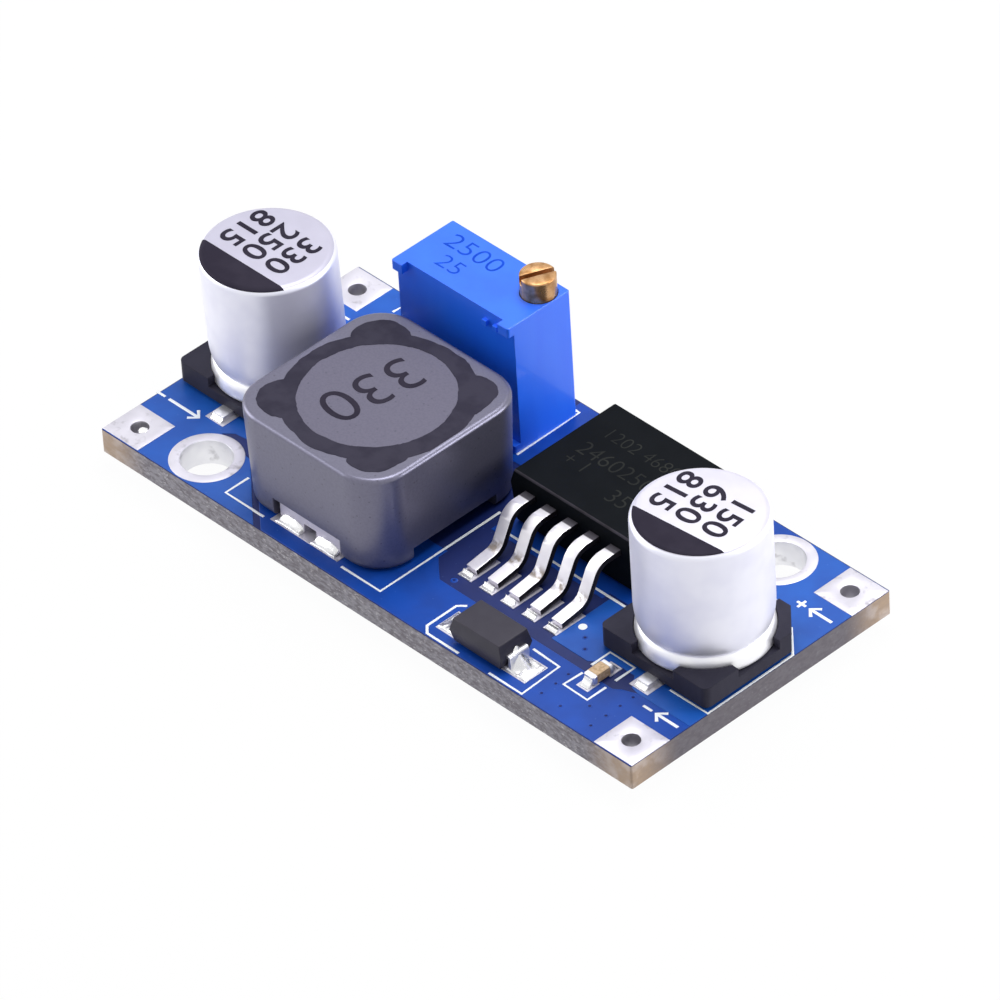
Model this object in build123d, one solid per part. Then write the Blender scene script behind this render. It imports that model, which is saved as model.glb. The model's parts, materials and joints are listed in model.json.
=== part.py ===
from build123d import *
import os
from math import atan, cos, degrees, pi, radians, sin, sqrt

# Step-down power module on a small board. Millimetres, +Z up, X along the board.
# The origin is under the middle of the board, level with the lowest solder tip.

# Board, and the gaps that place the parts on it
board_length = 43.0
board_width = 20.2
board_thickness = 1.6
copper = 0.05
seat_end_gap = 0.15
seat_inductor_gap = 1.23
regulator_seat_gap = 1.3
inductor_edge_gap = 1.15
inductor_trimmer_gap = 1.045
trimmer_regulator_gap = 4.05

# Terminal pads in the board's corners
terminal_side = 2.85
terminal_edge_gap = 0.15
terminal_bore = 1.1

# Mounting holes
mounting_bore = 3.1
mounting_ring = 4.4
mounting_edge_gap = 0.1
mounting_terminal_gap = 1.2

# Electrolytic capacitors
can_diameter = 7.9
can_height = 9.55
can_neck_depth = 0.3
can_neck_height = 2.72
can_bead_height = 1.63
can_bead_bulge = 0.02
can_curl = 0.3
can_neck_blend = 0.6
can_top_radius = 0.45
base_margin = 0.2
base_plate = 1.0
base_post_height = 1.62
base_window = 3.2
base_chamfer = 1.65
base_corner_radius = 0.45
base_foot_chamfer = 0.22
base_clearance = 0.06
tab_width = 0.85
tab_thickness = 0.3
tab_reach = 0.8
tab_inset = 2.6
tab_riser_diameter = 0.6
tab_clearance = 0.03
can_land_width = 1.45
can_land_reach = 1.15
can_land_inset = 2.4

# Shielded inductor
inductor_side = 12.2
inductor_corner = 2.5
inductor_height = 6.8
shield_taper = 0.2
shield_rim_radius = 0.3
shield_wall = 0.7
shield_lobe = 3.1
shield_lobe_wall = 0.74
shield_side_lift = 0.45
shield_side_gap = 6.4
shield_notch_width = 5.5
shield_notch_height = 1.35
drum_flange_gap = 0.8
drum_flange_thickness = 1.3
drum_foot_gap = 0.6
drum_post = 4.2
drum_lift = 0.35
drum_foot_thickness = 1.3
winding_clearance = 0.1
winding_margin = 0.5
resin_depth = 0.9
resin_drop = 0.12
clip_side_gap = 0.3
clip_top_gap = 0.1
clip_sheet = 0.3
clip_foot = 1.5
clip_slot = 1.0
clip_slot_height = 0.57
clip_edge = 0.09
clip_wall_gap = 0.25
inductor_land_margin = 0.3
inductor_land_reach = 0.55

# Trimmer housing, which is as large as its drive needs
trimmer_lip = 0.65
trimmer_foot = 0.55
trimmer_recess = 0.45
trimmer_lip_setback = 0.45
trimmer_lip_corner = 0.85
trimmer_edge = 0.12
trimmer_crown_edge = 0.06
trimmer_wall = 0.55
trimmer_roof = 0.65
base_plug = 0.6
plug_clearance = 0.03
pip_side = 0.35
rotor_end_gap = 0.74
rotor_floor_gap = 0.83
rotor_roof_gap = 0.63
rotor_far_gap = 0.25

# Trimmer drive: worm on the screw, toothed rotor on a pivot
wheel_teeth = 30
wheel_module = 0.2
wheel_thickness = 1.0
wheel_backlash = 0.06
worm_pitch_diameter = 1.7
worm_turns = 5
tooth_addendum = 0.17
tooth_dedendum = 0.23
flank_angle = 20
mesh_clearance = 0.03
screw_end_offset = 1.16
screw_head_margin = 0.01
screw_head_rise = 1.35
screw_slot_width = 0.36
screw_slot_depth = 0.5
screw_slot_angle = 66
screw_tail_diameter = 0.9
screw_head_chamfer = 0.1
worm_relief = 0.25
thread_root_bite = 0.03
running_clearance = 0.05
counterbore_margin = 0.08
counterbore_depth = 0.55
seal_section = 0.33
seal_level = 1.45
pivot_diameter = 1.2
hub_diameter = 3.2
hub_length = 0.4
wiper_sheet = 0.12
wiper_diameter = 4.6
wiper_bore = 2.0
wiper_finger_width = 0.5
wiper_contact_gap = 0.03
wiper_reach = 0.97
element_thickness = 0.6
element_end_gap = 0.11
element_top_margin = 0.3
element_track = 4.1
element_track_width = 0.7
track_thickness = 0.05

# Trimmer pins
pin_pitch = 2.54
pin_diameter = 0.5
pin_grip = 1.1
pin_hole = 0.9
pin_land = 1.7
joint_cone_height = 0.95
joint_tip_diameter = 0.7
joint_tip_cover = 0.05
joint_land_margin = 0.05

# Regulator
regulator_width = 10.1
regulator_depth = 8.35
regulator_height = 3.8
regulator_parting = 2.95
regulator_draft = 0.24
regulator_gap = 0.1
lead_pitch = 1.7
lead_count = 5
lead_width = 0.8
lead_sheet = 0.4
lead_level = 2.5
lead_reach = 4.9
lead_shoulder = 1.8
lead_heel = 2.9
lead_bend = 0.55
lead_root = 0.7
heat_tab_sheet = 1.27
heat_tab_width = 8.4
heat_tab_stand_out = 1.2
heat_tab_start = 2.35
heat_tab_edge_gap = 0.5
heat_tab_corner = 0.8
lead_land_width = 1.05
lead_land_length = 2.3
lead_land_overhang = 0.35
heat_land_margin = 0.2

# Catch diode
diode_shift = 2.0
diode_edge_gap = 0.55
diode_length = 4.2
diode_width = 2.5
diode_height = 1.8
diode_parting = 0.95
diode_draft = 0.2
diode_foot_gap = 0.12
diode_lead_width = 1.45
diode_lead_sheet = 0.2
diode_lead_fold = 1.1
diode_lead_root = 0.5
diode_lead_bend = 0.18
diode_land_length = 2.3
diode_land_width = 1.8
diode_land_overhang = 1.45

# Chip capacitor and chip resistor
chip_length = 1.6
chip_width = 0.8
chip_cap = 0.3
chip_land_length = 0.95
chip_land_width = 0.9
chip_land_overhang = 0.55
chip_edge = 0.08
chip_wrap = 0.03
capacitor_chip_shift = 2.35
capacitor_chip_gap = 0.5
capacitor_chip_height = 0.62
resistor_chip_gap = 0.65
resistor_chip_seat_gap = 1.0
resistor_chip_height = 0.45

# Solder fillets: hollow as a share of each side, how far each runs out and how high it climbs
solder_hollow = 0.36
toe_solder_rise = 0.3
tab_solder_run = 0.3
tab_solder_rise = 0.22
clip_solder_run = 0.5
clip_solder_rise = 0.35
diode_solder_run = 1.1
diode_solder_rise = 0.75
chip_solder_run = 0.45
chip_solder_share = 0.7


def box_between(x, y, z):
    """A box from three pairs of limits."""
    size = [b - a for a, b in (x, y, z)]
    middle = [(a + b) / 2 for a, b in (x, y, z)]
    return Pos(*middle) * Box(*size)


def post(x, y, diameter, z):
    """A round post or bore between two heights."""
    return Pos(x, y, (z[0] + z[1]) / 2) * Cylinder(diameter / 2, z[1] - z[0])


def solder_fillet(width, run, rise):
    """Concave wedge of solder against a wall at x = 0, running out along +X."""
    with BuildPart() as wedge:
        with BuildSketch(Plane.XZ):
            with BuildLine():
                Line((0, 0), (run, 0))
                ThreePointArc((run, 0), (run * solder_hollow, rise * solder_hollow), (0, rise))
                Line((0, rise), (0, 0))
            make_face()
        extrude(amount=width / 2, both=True)
    return wedge.part


def facing(part, x, y, angle):
    """Set a fillet on the copper at a place, running out in the direction of an angle."""
    return Pos(x, y, above) * Rot(0, 0, angle) * part


# Heights that more than one piece uses
below = joint_cone_height
underside_height = below + copper
board_top = underside_height + board_thickness
above = board_top + copper
plug_top = board_top + base_plug

# Drive: the rotor's disc, the worm and the screw above it
wheel_radius = wheel_module * wheel_teeth / 2
wheel_tip = wheel_radius + tooth_addendum
drive_distance = wheel_radius + worm_pitch_diameter / 2 + mesh_clearance
worm_lead = pi * wheel_module
worm_length = worm_turns * worm_lead
worm_crest = worm_pitch_diameter + 2 * tooth_addendum
worm_room = worm_crest + 4 * running_clearance
screw_head_diameter = worm_crest + 2 * screw_head_margin
screw_neck_diameter = screw_head_diameter - 2 * (seal_section + running_clearance)
drive_height = base_plug + rotor_floor_gap + wheel_tip
drive_z = board_top + drive_height

# Housing round the drive
trimmer_length = trimmer_wall + rotor_end_gap + wheel_tip + drive_distance + screw_end_offset
trimmer_height = drive_height + wheel_tip + rotor_roof_gap + trimmer_roof
trimmer_top = board_top + trimmer_height
wiper_room = element_thickness + track_thickness + wiper_contact_gap + wiper_reach
rotor_room = hub_length + wheel_thickness + rotor_far_gap
trimmer_depth = trimmer_recess + trimmer_wall + wiper_room + rotor_room + trimmer_wall
track_outer = (element_track + element_track_width) / 2
element_height = drive_height - base_plug + track_outer + element_top_margin
element_half = wheel_tip + rotor_end_gap - element_end_gap

# Capacitor seats and inductor
base_side = can_diameter + 2 * base_margin
inductor_foot_side = inductor_side - 2 * shield_taper
shield_opening = inductor_side - 2 * shield_wall
shield_lobe_reach = (inductor_side / 2 - inductor_corner) * sqrt(2) + inductor_corner - shield_lobe_wall
drum_flange = shield_opening - 2 * drum_flange_gap
drum_foot_flange = shield_opening - 2 * drum_foot_gap
clip_width = shield_notch_width - 2 * clip_side_gap
clip_height = shield_notch_height - clip_top_gap
inductor_land_width = clip_width + 2 * inductor_land_margin

# Layout along the board: inductor beside the output seat, regulator beside the input seat
capacitor_offset = board_length / 2 - seat_end_gap - base_side / 2
inductor_x = -capacitor_offset + base_side / 2 + seat_inductor_gap + inductor_side / 2
regulator_x = capacitor_offset - base_side / 2 - regulator_seat_gap - regulator_width / 2
trimmer_right = regulator_x - regulator_width / 2 - trimmer_regulator_gap
trimmer_left = trimmer_right - trimmer_length
screw_x = trimmer_right - screw_end_offset
rotor_x = screw_x - drive_distance
diode_x = regulator_x + diode_shift

# Layout across the board: inductor and trimmer from the near edge, heat tab from the far edge
inductor_y = inductor_edge_gap + inductor_side / 2 - board_width / 2
trimmer_near = inductor_y + inductor_side / 2 + inductor_trimmer_gap
trimmer_far = trimmer_near + trimmer_depth
cavity_near = trimmer_near + trimmer_recess + trimmer_wall
cavity_far = trimmer_far - trimmer_wall
element_face = cavity_near + element_thickness
pin_y = cavity_near + element_thickness / 2
screw_y = cavity_far - rotor_far_gap - wheel_thickness / 2
heat_tab_back = board_width / 2 - heat_tab_edge_gap
regulator_front = heat_tab_back - heat_tab_stand_out - regulator_depth
diode_y = diode_edge_gap + diode_width / 2 - board_width / 2

# Terminals, mounting holes and chip parts beside what they belong to
terminal_x = board_length / 2 - terminal_edge_gap - terminal_side / 2
terminal_y = board_width / 2 - terminal_edge_gap - terminal_side / 2
mounting_x = terminal_x - terminal_side / 2 - mounting_terminal_gap - mounting_ring / 2
mounting_y = board_width / 2 - mounting_edge_gap - mounting_ring / 2
chip_land_reach = chip_length / 2 + chip_land_overhang
capacitor_chip_x = capacitor_offset - capacitor_chip_shift
capacitor_chip_y = -base_side / 2 - capacitor_chip_gap - chip_land_reach
resistor_chip_x = trimmer_left - resistor_chip_gap - chip_land_reach
resistor_chip_y = base_side / 2 + resistor_chip_seat_gap + chip_land_width / 2


def terminal_bore_centres():
    """The four corner terminals by name."""
    return {
        "input_positive_terminal": (terminal_x, terminal_y),
        "input_negative_terminal": (terminal_x, -terminal_y),
        "output_positive_terminal": (-terminal_x, terminal_y),
        "output_negative_terminal": (-terminal_x, -terminal_y),
    }


def mounting_centres():
    """The two mounting holes by name, on one diagonal."""
    return {
        "near_mounting_ring": (-mounting_x, -mounting_y),
        "far_mounting_ring": (mounting_x, mounting_y),
    }


def pin_centres():
    """The trimmer's three pins in a row."""
    middle = (trimmer_left + trimmer_right) / 2
    return [(middle + (i - 1) * pin_pitch, pin_y) for i in range(3)]


def circuit_board():
    """Laminate with its plated holes."""
    through = (underside_height, board_top)
    board = box_between(
        (-board_length / 2, board_length / 2), (-board_width / 2, board_width / 2), through
    )
    for x, y in terminal_bore_centres().values():
        board -= post(x, y, terminal_bore, through)
    for x, y in mounting_centres().values():
        board -= post(x, y, mounting_bore, through)
    for x, y in pin_centres():
        board -= post(x, y, pin_hole, through)
    return board


def copper_faces():
    """Heights of the copper on the upper face and on the underside."""
    return ((board_top, above), (below, underside_height))


def terminal(x, y):
    """Square land on both faces, round a plated hole."""
    half = terminal_side / 2
    lands = []
    for z in copper_faces():
        land = box_between((x - half, x + half), (y - half, y + half), z)
        lands.append(land - post(x, y, terminal_bore, z))
    return Compound(children=lands)


def ring(x, y, bore, outside):
    """Round land on both faces, round a plated hole."""
    return Compound(children=[post(x, y, outside, z) - post(x, y, bore, z) for z in copper_faces()])


def capacitor_can():
    """Drawn can with a rolled neck over its seal and a rounded crown."""
    radius = can_diameter / 2
    foot = board_top + base_plate
    bead = board_top + can_bead_height
    neck = board_top + can_neck_height
    crown = board_top + can_height
    wall_start = neck + can_neck_blend
    neck_radius = radius - can_neck_depth
    curl = radius - can_curl
    shoulder = (can_neck_depth**2 + can_neck_blend**2) / (2 * can_neck_depth)
    with BuildPart() as can:
        with BuildSketch(Plane.XZ):
            with BuildLine():
                Line((0, foot), (curl, foot))
                ThreePointArc((curl, foot), (radius + can_bead_bulge, bead), (neck_radius, neck))
                RadiusArc((neck_radius, neck), (radius, wall_start), -shoulder)
                Line((radius, wall_start), (radius, crown - can_top_radius))
                RadiusArc((radius, crown - can_top_radius), (radius - can_top_radius, crown), -can_top_radius)
                Line((radius - can_top_radius, crown), (0, crown))
                Line((0, crown), (0, foot))
            make_face()
        revolve(axis=Axis.Z)
    return can.part


def base_outline():
    """Square with two corners cut on the positive side."""
    half = base_side / 2
    cut = half - base_chamfer
    outline = Polyline(
        (-half, -half), (half, -half), (half, cut), (cut, half), (-cut, half), (-half, cut), close=True
    )
    return make_face(outline)


def capacitor_base():
    """Moulded seat: plate, four corner posts hugging the can, grooves for the tabs."""
    plate_top = board_top + base_plate
    post_top = board_top + base_post_height
    body = extrude(base_outline(), post_top - above)
    body = fillet(body.edges().filter_by(Axis.Z).sort_by(Axis.Y)[:2], base_corner_radius)
    body = chamfer(body.faces().sort_by(Axis.Z)[0].edges(), base_foot_chamfer)
    body = Pos(0, 0, above) * body
    body -= post(0, 0, can_diameter + 2 * base_clearance, (plate_top, post_top))
    half = base_side / 2
    window = base_window / 2
    for across in (0, 90):
        opening = box_between((-half, half), (-window, window), (plate_top, post_top))
        body -= Rot(0, 0, across) * opening
    for side in (-1, 1):
        body -= tab_groove(side)
    return body


def tab_groove(side):
    """Space in the seat for one tab and its riser."""
    half_width = tab_width / 2 + tab_clearance
    inner = base_side / 2 - tab_inset - tab_clearance
    low, high = sorted((side * inner, side * base_side / 2))
    groove = box_between((-half_width, half_width), (low, high), (above, above + tab_thickness))
    riser_y = side * (base_side / 2 - tab_inset + tab_width / 2)
    return groove + post(0, riser_y, tab_riser_diameter + 2 * tab_clearance, (above, board_top + base_plate))


def capacitor_tab(side):
    """Flat tinned tab under the seat with its wire up to the can."""
    inner = base_side / 2 - tab_inset
    low, high = sorted((side * inner, side * (base_side / 2 + tab_reach)))
    half = tab_width / 2
    tab = box_between((-half, half), (low, high), (above, above + tab_thickness))
    riser_y = side * (inner + half)
    tab += post(0, riser_y, tab_riser_diameter, (above, board_top + base_plate))
    return tab


def capacitor_lands():
    """The two solder lands of one capacitor."""
    half = can_land_width / 2
    lands = []
    for side in (-1, 1):
        low, high = sorted((side * (base_side / 2 - can_land_inset), side * (base_side / 2 + can_land_reach)))
        lands.append(box_between((-half, half), (low, high), (board_top, above)))
    return Compound(children=lands)


def capacitor_solder():
    """Solder at the end of every capacitor tab."""
    wedge = solder_fillet(tab_width, tab_solder_run, tab_solder_rise)
    end = base_side / 2 + tab_reach
    places = [(x, side) for x in (-capacitor_offset, capacitor_offset) for side in (-1, 1)]
    return Compound(children=[facing(wedge, x, side * end, 90 * side) for x, side in places])


def at_inductor(part):
    """Move a piece modelled round the vertical axis to the inductor's place."""
    return Pos(inductor_x, inductor_y, 0) * part


def shield_opening_face():
    """Round opening of the shield with a lobe towards each corner."""
    opening = Circle(shield_opening / 2)
    reach = shield_lobe_reach - shield_lobe / 2
    for quarter in range(4):
        angle = radians(45 + 90 * quarter)
        opening += Pos(reach * cos(angle), reach * sin(angle)) * Circle(shield_lobe / 2)
    return opening


def inductor_shield():
    """Ferrite box, slightly narrower at the foot, open at the top, cut away under its sides."""
    top = board_top + inductor_height
    foot_corner = inductor_corner - shield_taper / 2
    foot = Pos(0, 0, above) * RectangleRounded(inductor_foot_side, inductor_foot_side, foot_corner)
    crown = Pos(0, 0, top) * RectangleRounded(inductor_side, inductor_side, inductor_corner)
    shield = loft([foot, crown], ruled=True)
    shield = fillet(shield.faces().sort_by(Axis.Z)[-1].outer_wire().edges(), shield_rim_radius)
    shield -= post(0, 0, shield_opening, (above, top))
    shield -= Pos(0, 0, top - resin_depth) * extrude(shield_opening_face(), resin_depth)
    half = inductor_side / 2
    gap = shield_side_gap / 2
    notch = shield_notch_width / 2
    shield -= box_between((-half, half), (-gap, gap), (above, above + shield_side_lift))
    shield -= box_between((-notch, notch), (-half, half), (above, above + shield_notch_height))
    return at_inductor(shield)


def inductor_core():
    """Drum core: two flanges on one post."""
    top = board_top + inductor_height
    foot = board_top + drum_lift
    core = post(0, 0, drum_foot_flange, (foot, foot + drum_foot_thickness))
    core += post(0, 0, drum_post, (foot, top))
    core += post(0, 0, drum_flange, (top - drum_flange_thickness, top))
    return at_inductor(core)


def inductor_winding():
    """Wound wire between the flanges as one ring."""
    low = board_top + drum_lift + drum_foot_thickness + winding_clearance
    high = board_top + inductor_height - drum_flange_thickness - winding_clearance
    outside = drum_flange - 2 * winding_margin
    inside = drum_post + 2 * winding_clearance
    return at_inductor(post(0, 0, outside, (low, high)) - post(0, 0, inside, (low, high)))


def inductor_resin():
    """Cast ring that fills the shield's opening round the top flange."""
    top = board_top + inductor_height
    fill = extrude(shield_opening_face(), resin_depth - resin_drop)
    ring_fill = Pos(0, 0, top - resin_depth) * fill
    ring_fill -= post(0, 0, drum_flange, (top - resin_depth, top))
    return at_inductor(ring_fill)


def inductor_clip(side):
    """Folded sheet terminal: foot on the land, wall in the shield's notch, slot for the wire."""
    half = clip_width / 2
    outer = inductor_foot_side / 2 - clip_wall_gap
    wall = (outer - clip_sheet, outer)
    clip = box_between((-half, half), (outer - clip_foot, outer), (above, above + clip_sheet))
    clip += box_between((-half, half), wall, (above, above + clip_height))
    slot = clip_slot / 2
    clip -= box_between((-slot, slot), (outer - clip_foot, outer), (above, above + clip_slot_height))
    clip = fillet(clip.edges().filter_by(Axis.X).group_by(Axis.Z)[-1], clip_edge)
    return at_inductor(Rot(0, 0, 180) * clip if side < 0 else clip)


def inductor_lands():
    """The two long lands under the clips."""
    half = inductor_land_width / 2
    edge = inductor_foot_side / 2 - clip_wall_gap
    lands = []
    for side in (-1, 1):
        low, high = sorted((side * (edge - clip_foot), side * (edge + inductor_land_reach)))
        lands.append(at_inductor(box_between((-half, half), (low, high), (board_top, above))))
    return Compound(children=lands)


def inductor_solder():
    """Solder along the outside of both clips."""
    wedge = solder_fillet(clip_width, clip_solder_run, clip_solder_rise)
    edge = inductor_foot_side / 2 - clip_wall_gap
    return Compound(
        children=[facing(wedge, inductor_x, inductor_y + side * edge, 90 * side) for side in (-1, 1)]
    )


def trimmer_cavity():
    """Room for the rotor and the element, open downwards."""
    side = trimmer_wall
    return box_between(
        (trimmer_left + side, screw_x - running_clearance),
        (cavity_near, cavity_far),
        (above, trimmer_top - trimmer_roof),
    )


def trimmer_housing():
    """Moulded square housing: lip, recessed wall, foot, screw bore, counterbore and rotor pivot."""
    shell = box_between((trimmer_left, trimmer_right), (trimmer_near, trimmer_far), (above, trimmer_top))
    shell = fillet(shell.edges().filter_by(Axis.Z), trimmer_edge)
    shell = fillet(shell.faces().sort_by(Axis.Z)[-1].edges(), trimmer_crown_edge)
    recess_top = trimmer_top - trimmer_lip
    shell -= box_between(
        (trimmer_left, trimmer_right),
        (trimmer_near, trimmer_near + trimmer_recess),
        (board_top + trimmer_foot, recess_top),
    )
    inset = trimmer_lip_corner
    shell -= box_between(
        (trimmer_left + inset, trimmer_right - inset),
        (trimmer_near, trimmer_near + trimmer_lip_setback),
        (recess_top, trimmer_top),
    )
    for place in (inset + pip_side, 2 * inset + pip_side):
        right = trimmer_right - place
        shell += box_between(
            (right - pip_side, right),
            (trimmer_near + trimmer_lip_setback / 2, trimmer_near + trimmer_recess),
            (recess_top - pip_side, recess_top),
        )
    shell -= trimmer_cavity()
    bore = screw_head_diameter + 2 * running_clearance
    counterbore = screw_head_diameter + 2 * counterbore_margin
    shell -= post(screw_x, screw_y, worm_room, (above, drive_z + worm_length / 2 + worm_relief))
    shell -= post(screw_x, screw_y, bore, (drive_z, trimmer_top))
    shell -= post(screw_x, screw_y, counterbore, (trimmer_top - counterbore_depth, trimmer_top))
    return shell + rotor_pivot()


def rotor_pivot():
    """Pin moulded on the inside of the far wall, which carries the rotor."""
    length = cavity_far - rotor_near() + hub_length
    pin = Rot(90, 0, 0) * Cylinder(pivot_diameter / 2, length)
    return Pos(rotor_x, cavity_far - length / 2, drive_z) * pin


def rotor_near():
    """The toothed disc's face towards the element."""
    return screw_y - wheel_thickness / 2


def trimmer_base():
    """Plug that closes the housing's foot and carries the screw's tail."""
    z = (above, plug_top)
    gap = plug_clearance
    plug = box_between(
        (trimmer_left + trimmer_wall + gap, screw_x - running_clearance - gap),
        (cavity_near + gap, cavity_far - gap),
        z,
    )
    plug += post(screw_x, screw_y, worm_room - 2 * gap, z)
    plug -= post(screw_x, screw_y, screw_tail_diameter + 2 * running_clearance, z)
    for x, y in pin_centres():
        plug -= post(x, y, pin_diameter, z)
    return plug


def worm_thread():
    """Helical ridge of the worm, as one sweep that runs into the core."""
    radius = worm_pitch_diameter / 2
    root = radius - tooth_dedendum - thread_root_bite
    crest = radius + tooth_addendum
    slope = (crest - radius) * sin(radians(flank_angle)) / cos(radians(flank_angle))
    root_slope = (radius - root) * sin(radians(flank_angle)) / cos(radians(flank_angle))
    half = worm_lead / 4 - wheel_backlash / 2
    helix = Helix(pitch=worm_lead, height=worm_length, radius=radius)
    profile = Plane.XZ * make_face(
        Polyline(
            (root, -half - root_slope),
            (crest, -half + slope),
            (crest, half - slope),
            (root, half + root_slope),
            close=True,
        )
    )
    return Rot(0, 0, 180 * worm_turns) * sweep(profile, path=helix, is_frenet=True)


def trimmer_screw():
    """Brass adjusting screw: slotted head, sealed neck, worm and tail."""
    top = trimmer_top + screw_head_rise
    worm_low = drive_z - worm_length / 2
    worm_high = drive_z + worm_length / 2
    seal_z = trimmer_top - seal_level
    groove = (seal_z - seal_section, seal_z + seal_section)
    root = worm_pitch_diameter - 2 * tooth_dedendum
    head = post(0, 0, screw_head_diameter, (groove[1], top))
    head = chamfer(head.faces().sort_by(Axis.Z)[-1].edges(), screw_head_chamfer)
    slot_half = screw_slot_width / 2
    slot = box_between(
        (-screw_head_diameter, screw_head_diameter), (-slot_half, slot_half), (top - screw_slot_depth, top)
    )
    head -= Rot(0, 0, screw_slot_angle) * slot
    body = head + post(0, 0, screw_neck_diameter, groove)
    body += post(0, 0, screw_head_diameter, (worm_high + worm_relief, groove[0]))
    body += post(0, 0, root, (plug_top + running_clearance, worm_high + worm_relief))
    body += post(0, 0, screw_tail_diameter, (above + running_clearance, plug_top + running_clearance))
    body += Pos(0, 0, worm_low) * worm_thread()
    return Pos(screw_x, screw_y, 0) * body


def trimmer_seal():
    """Rubber ring in the screw's groove."""
    seal_z = trimmer_top - seal_level
    inner = screw_neck_diameter / 2 + running_clearance / 2
    centre = inner + seal_section / 2
    return Pos(screw_x, screw_y, seal_z) * Torus(centre, seal_section / 2)


def tooth_ring(angle):
    """Outline of the toothed disc turned by an angle in degrees."""
    step = 360 / wheel_teeth
    tip = wheel_radius + tooth_addendum
    root = wheel_radius - tooth_dedendum
    half = (pi * wheel_module / 4 - wheel_backlash / 2) / wheel_radius
    slope = sin(radians(flank_angle)) / cos(radians(flank_angle))
    tip_half = half - tooth_addendum * slope / wheel_radius
    root_half = half + tooth_dedendum * slope / wheel_radius
    points = []
    for tooth in range(wheel_teeth):
        middle = radians(tooth * step + angle)
        for radius, offset in ((root, -root_half), (tip, -tip_half), (tip, tip_half), (root, root_half)):
            points.append((radius * cos(middle + offset), radius * sin(middle + offset)))
    return make_face(Polyline(*points, close=True))


def trimmer_rotor():
    """Toothed disc with slanted teeth, hub and bore."""
    lead_angle = atan(wheel_module / worm_pitch_diameter)
    twist = degrees(wheel_thickness * lead_angle / wheel_radius)
    first = tooth_ring(-twist / 2)
    last = Pos(0, 0, wheel_thickness) * tooth_ring(twist / 2)
    disc = loft([first, last], ruled=True)
    disc += Pos(0, 0, wheel_thickness + hub_length / 2) * Cylinder(hub_diameter / 2, hub_length)
    length = wheel_thickness + hub_length
    disc -= Pos(0, 0, length / 2) * Cylinder(pivot_diameter / 2 + running_clearance, length)
    return in_rotor_frame(disc)


def in_rotor_frame(part):
    """Stand a piece modelled along +Z on the rotor's axis, with its foot at the disc's far face."""
    return Pos(rotor_x, rotor_near() + wheel_thickness, drive_z) * Rot(90, 0, 0) * part


def trimmer_wiper():
    """Sprung contact on the hub: a washer and a raised finger over the track."""
    start = wheel_thickness + hub_length
    sheet = wiper_sheet
    washer = Pos(0, 0, start + sheet / 2) * Cylinder(wiper_diameter / 2, sheet)
    washer -= Pos(0, 0, start + sheet / 2) * Cylinder(wiper_bore / 2, sheet)
    radius = element_track / 2
    half = wiper_finger_width / 2
    finger = box_between((-half, half), (radius - half, radius + half), (start, start + wiper_reach))
    return in_rotor_frame(washer + finger)


def trimmer_element():
    """Ceramic plate with the resistive track as a raised ring on its face."""
    half = element_half
    low = plug_top
    plate = box_between(
        (rotor_x - half, rotor_x + half), (cavity_near, element_face), (low, low + element_height)
    )
    track = Cylinder(track_outer, track_thickness)
    track -= Cylinder(track_outer - element_track_width, track_thickness)
    plate += Pos(rotor_x, element_face + track_thickness / 2, drive_z) * Rot(90, 0, 0) * track
    for x, y in pin_centres():
        plate -= post(x, y, pin_diameter, (low, low + pin_grip))
    return plate


def trimmer_pin(index):
    """Round pin from the element, through plug and board, to the solder tip."""
    x, y = pin_centres()[index]
    return post(x, y, pin_diameter, (joint_tip_cover, plug_top + pin_grip))


def pin_lands():
    """Lands of the three pins on both faces."""
    rings = [ring(x, y, pin_hole, pin_land) for x, y in pin_centres()]
    return Compound(children=[land for pair in rings for land in pair.solids()])


def pin_solder():
    """Solder in each plated hole and the cone below it."""
    joints = []
    for x, y in pin_centres():
        fill = post(x, y, pin_hole, (below, above))
        wide = pin_land / 2 - joint_land_margin
        cone = Pos(x, y, below / 2) * Cone(joint_tip_diameter / 2, wide, joint_cone_height)
        joints.append(fill + cone - post(x, y, pin_diameter, (joint_tip_cover, above)))
    return Compound(children=joints)


def drafted_body(length, width, foot, parting, crown, draft):
    """Moulded package: widest at the parting line, drawn in towards crown and foot."""
    lower = loft(
        [
            Pos(0, 0, foot) * Rectangle(length - 2 * draft, width - 2 * draft),
            Pos(0, 0, parting) * Rectangle(length, width),
        ],
        ruled=True,
    )
    upper = loft(
        [
            Pos(0, 0, parting) * Rectangle(length, width),
            Pos(0, 0, crown) * Rectangle(length - 2 * draft, width - 2 * draft),
        ],
        ruled=True,
    )
    return lower + upper


def regulator_lead_path():
    """Centre line of one lead from inside the body to its toe."""
    high = board_top + lead_level + lead_sheet / 2
    low = above + lead_sheet / 2
    root = (0, regulator_front + lead_root, high)
    shoulder = (0, regulator_front - lead_shoulder, high)
    heel = (0, regulator_front - lead_heel, low)
    toe = (0, regulator_front - lead_reach, low)
    return FilletPolyline(root, shoulder, heel, toe, radius=lead_bend)


def regulator_lead(index):
    """One formed lead of flat section."""
    path = regulator_lead_path()
    section = Plane(path @ 0, x_dir=(1, 0, 0), z_dir=path % 0) * Rectangle(lead_width, lead_sheet)
    lead = sweep(section, path=path)
    return Pos(lead_x(index), 0, 0) * lead


def lead_x(index):
    """Place of a lead along the body."""
    return regulator_x + (index - (lead_count - 1) / 2) * lead_pitch


def regulator_body():
    """Moulded power package with pockets for its leads and its heat tab."""
    body = drafted_body(
        regulator_width,
        regulator_depth,
        above + regulator_gap,
        board_top + regulator_parting,
        board_top + regulator_height,
        regulator_draft,
    )
    body = Pos(regulator_x, regulator_front + regulator_depth / 2, 0) * body
    body -= regulator_heat_tab()
    for index in range(lead_count):
        body -= regulator_lead(index)
    return body


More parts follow.
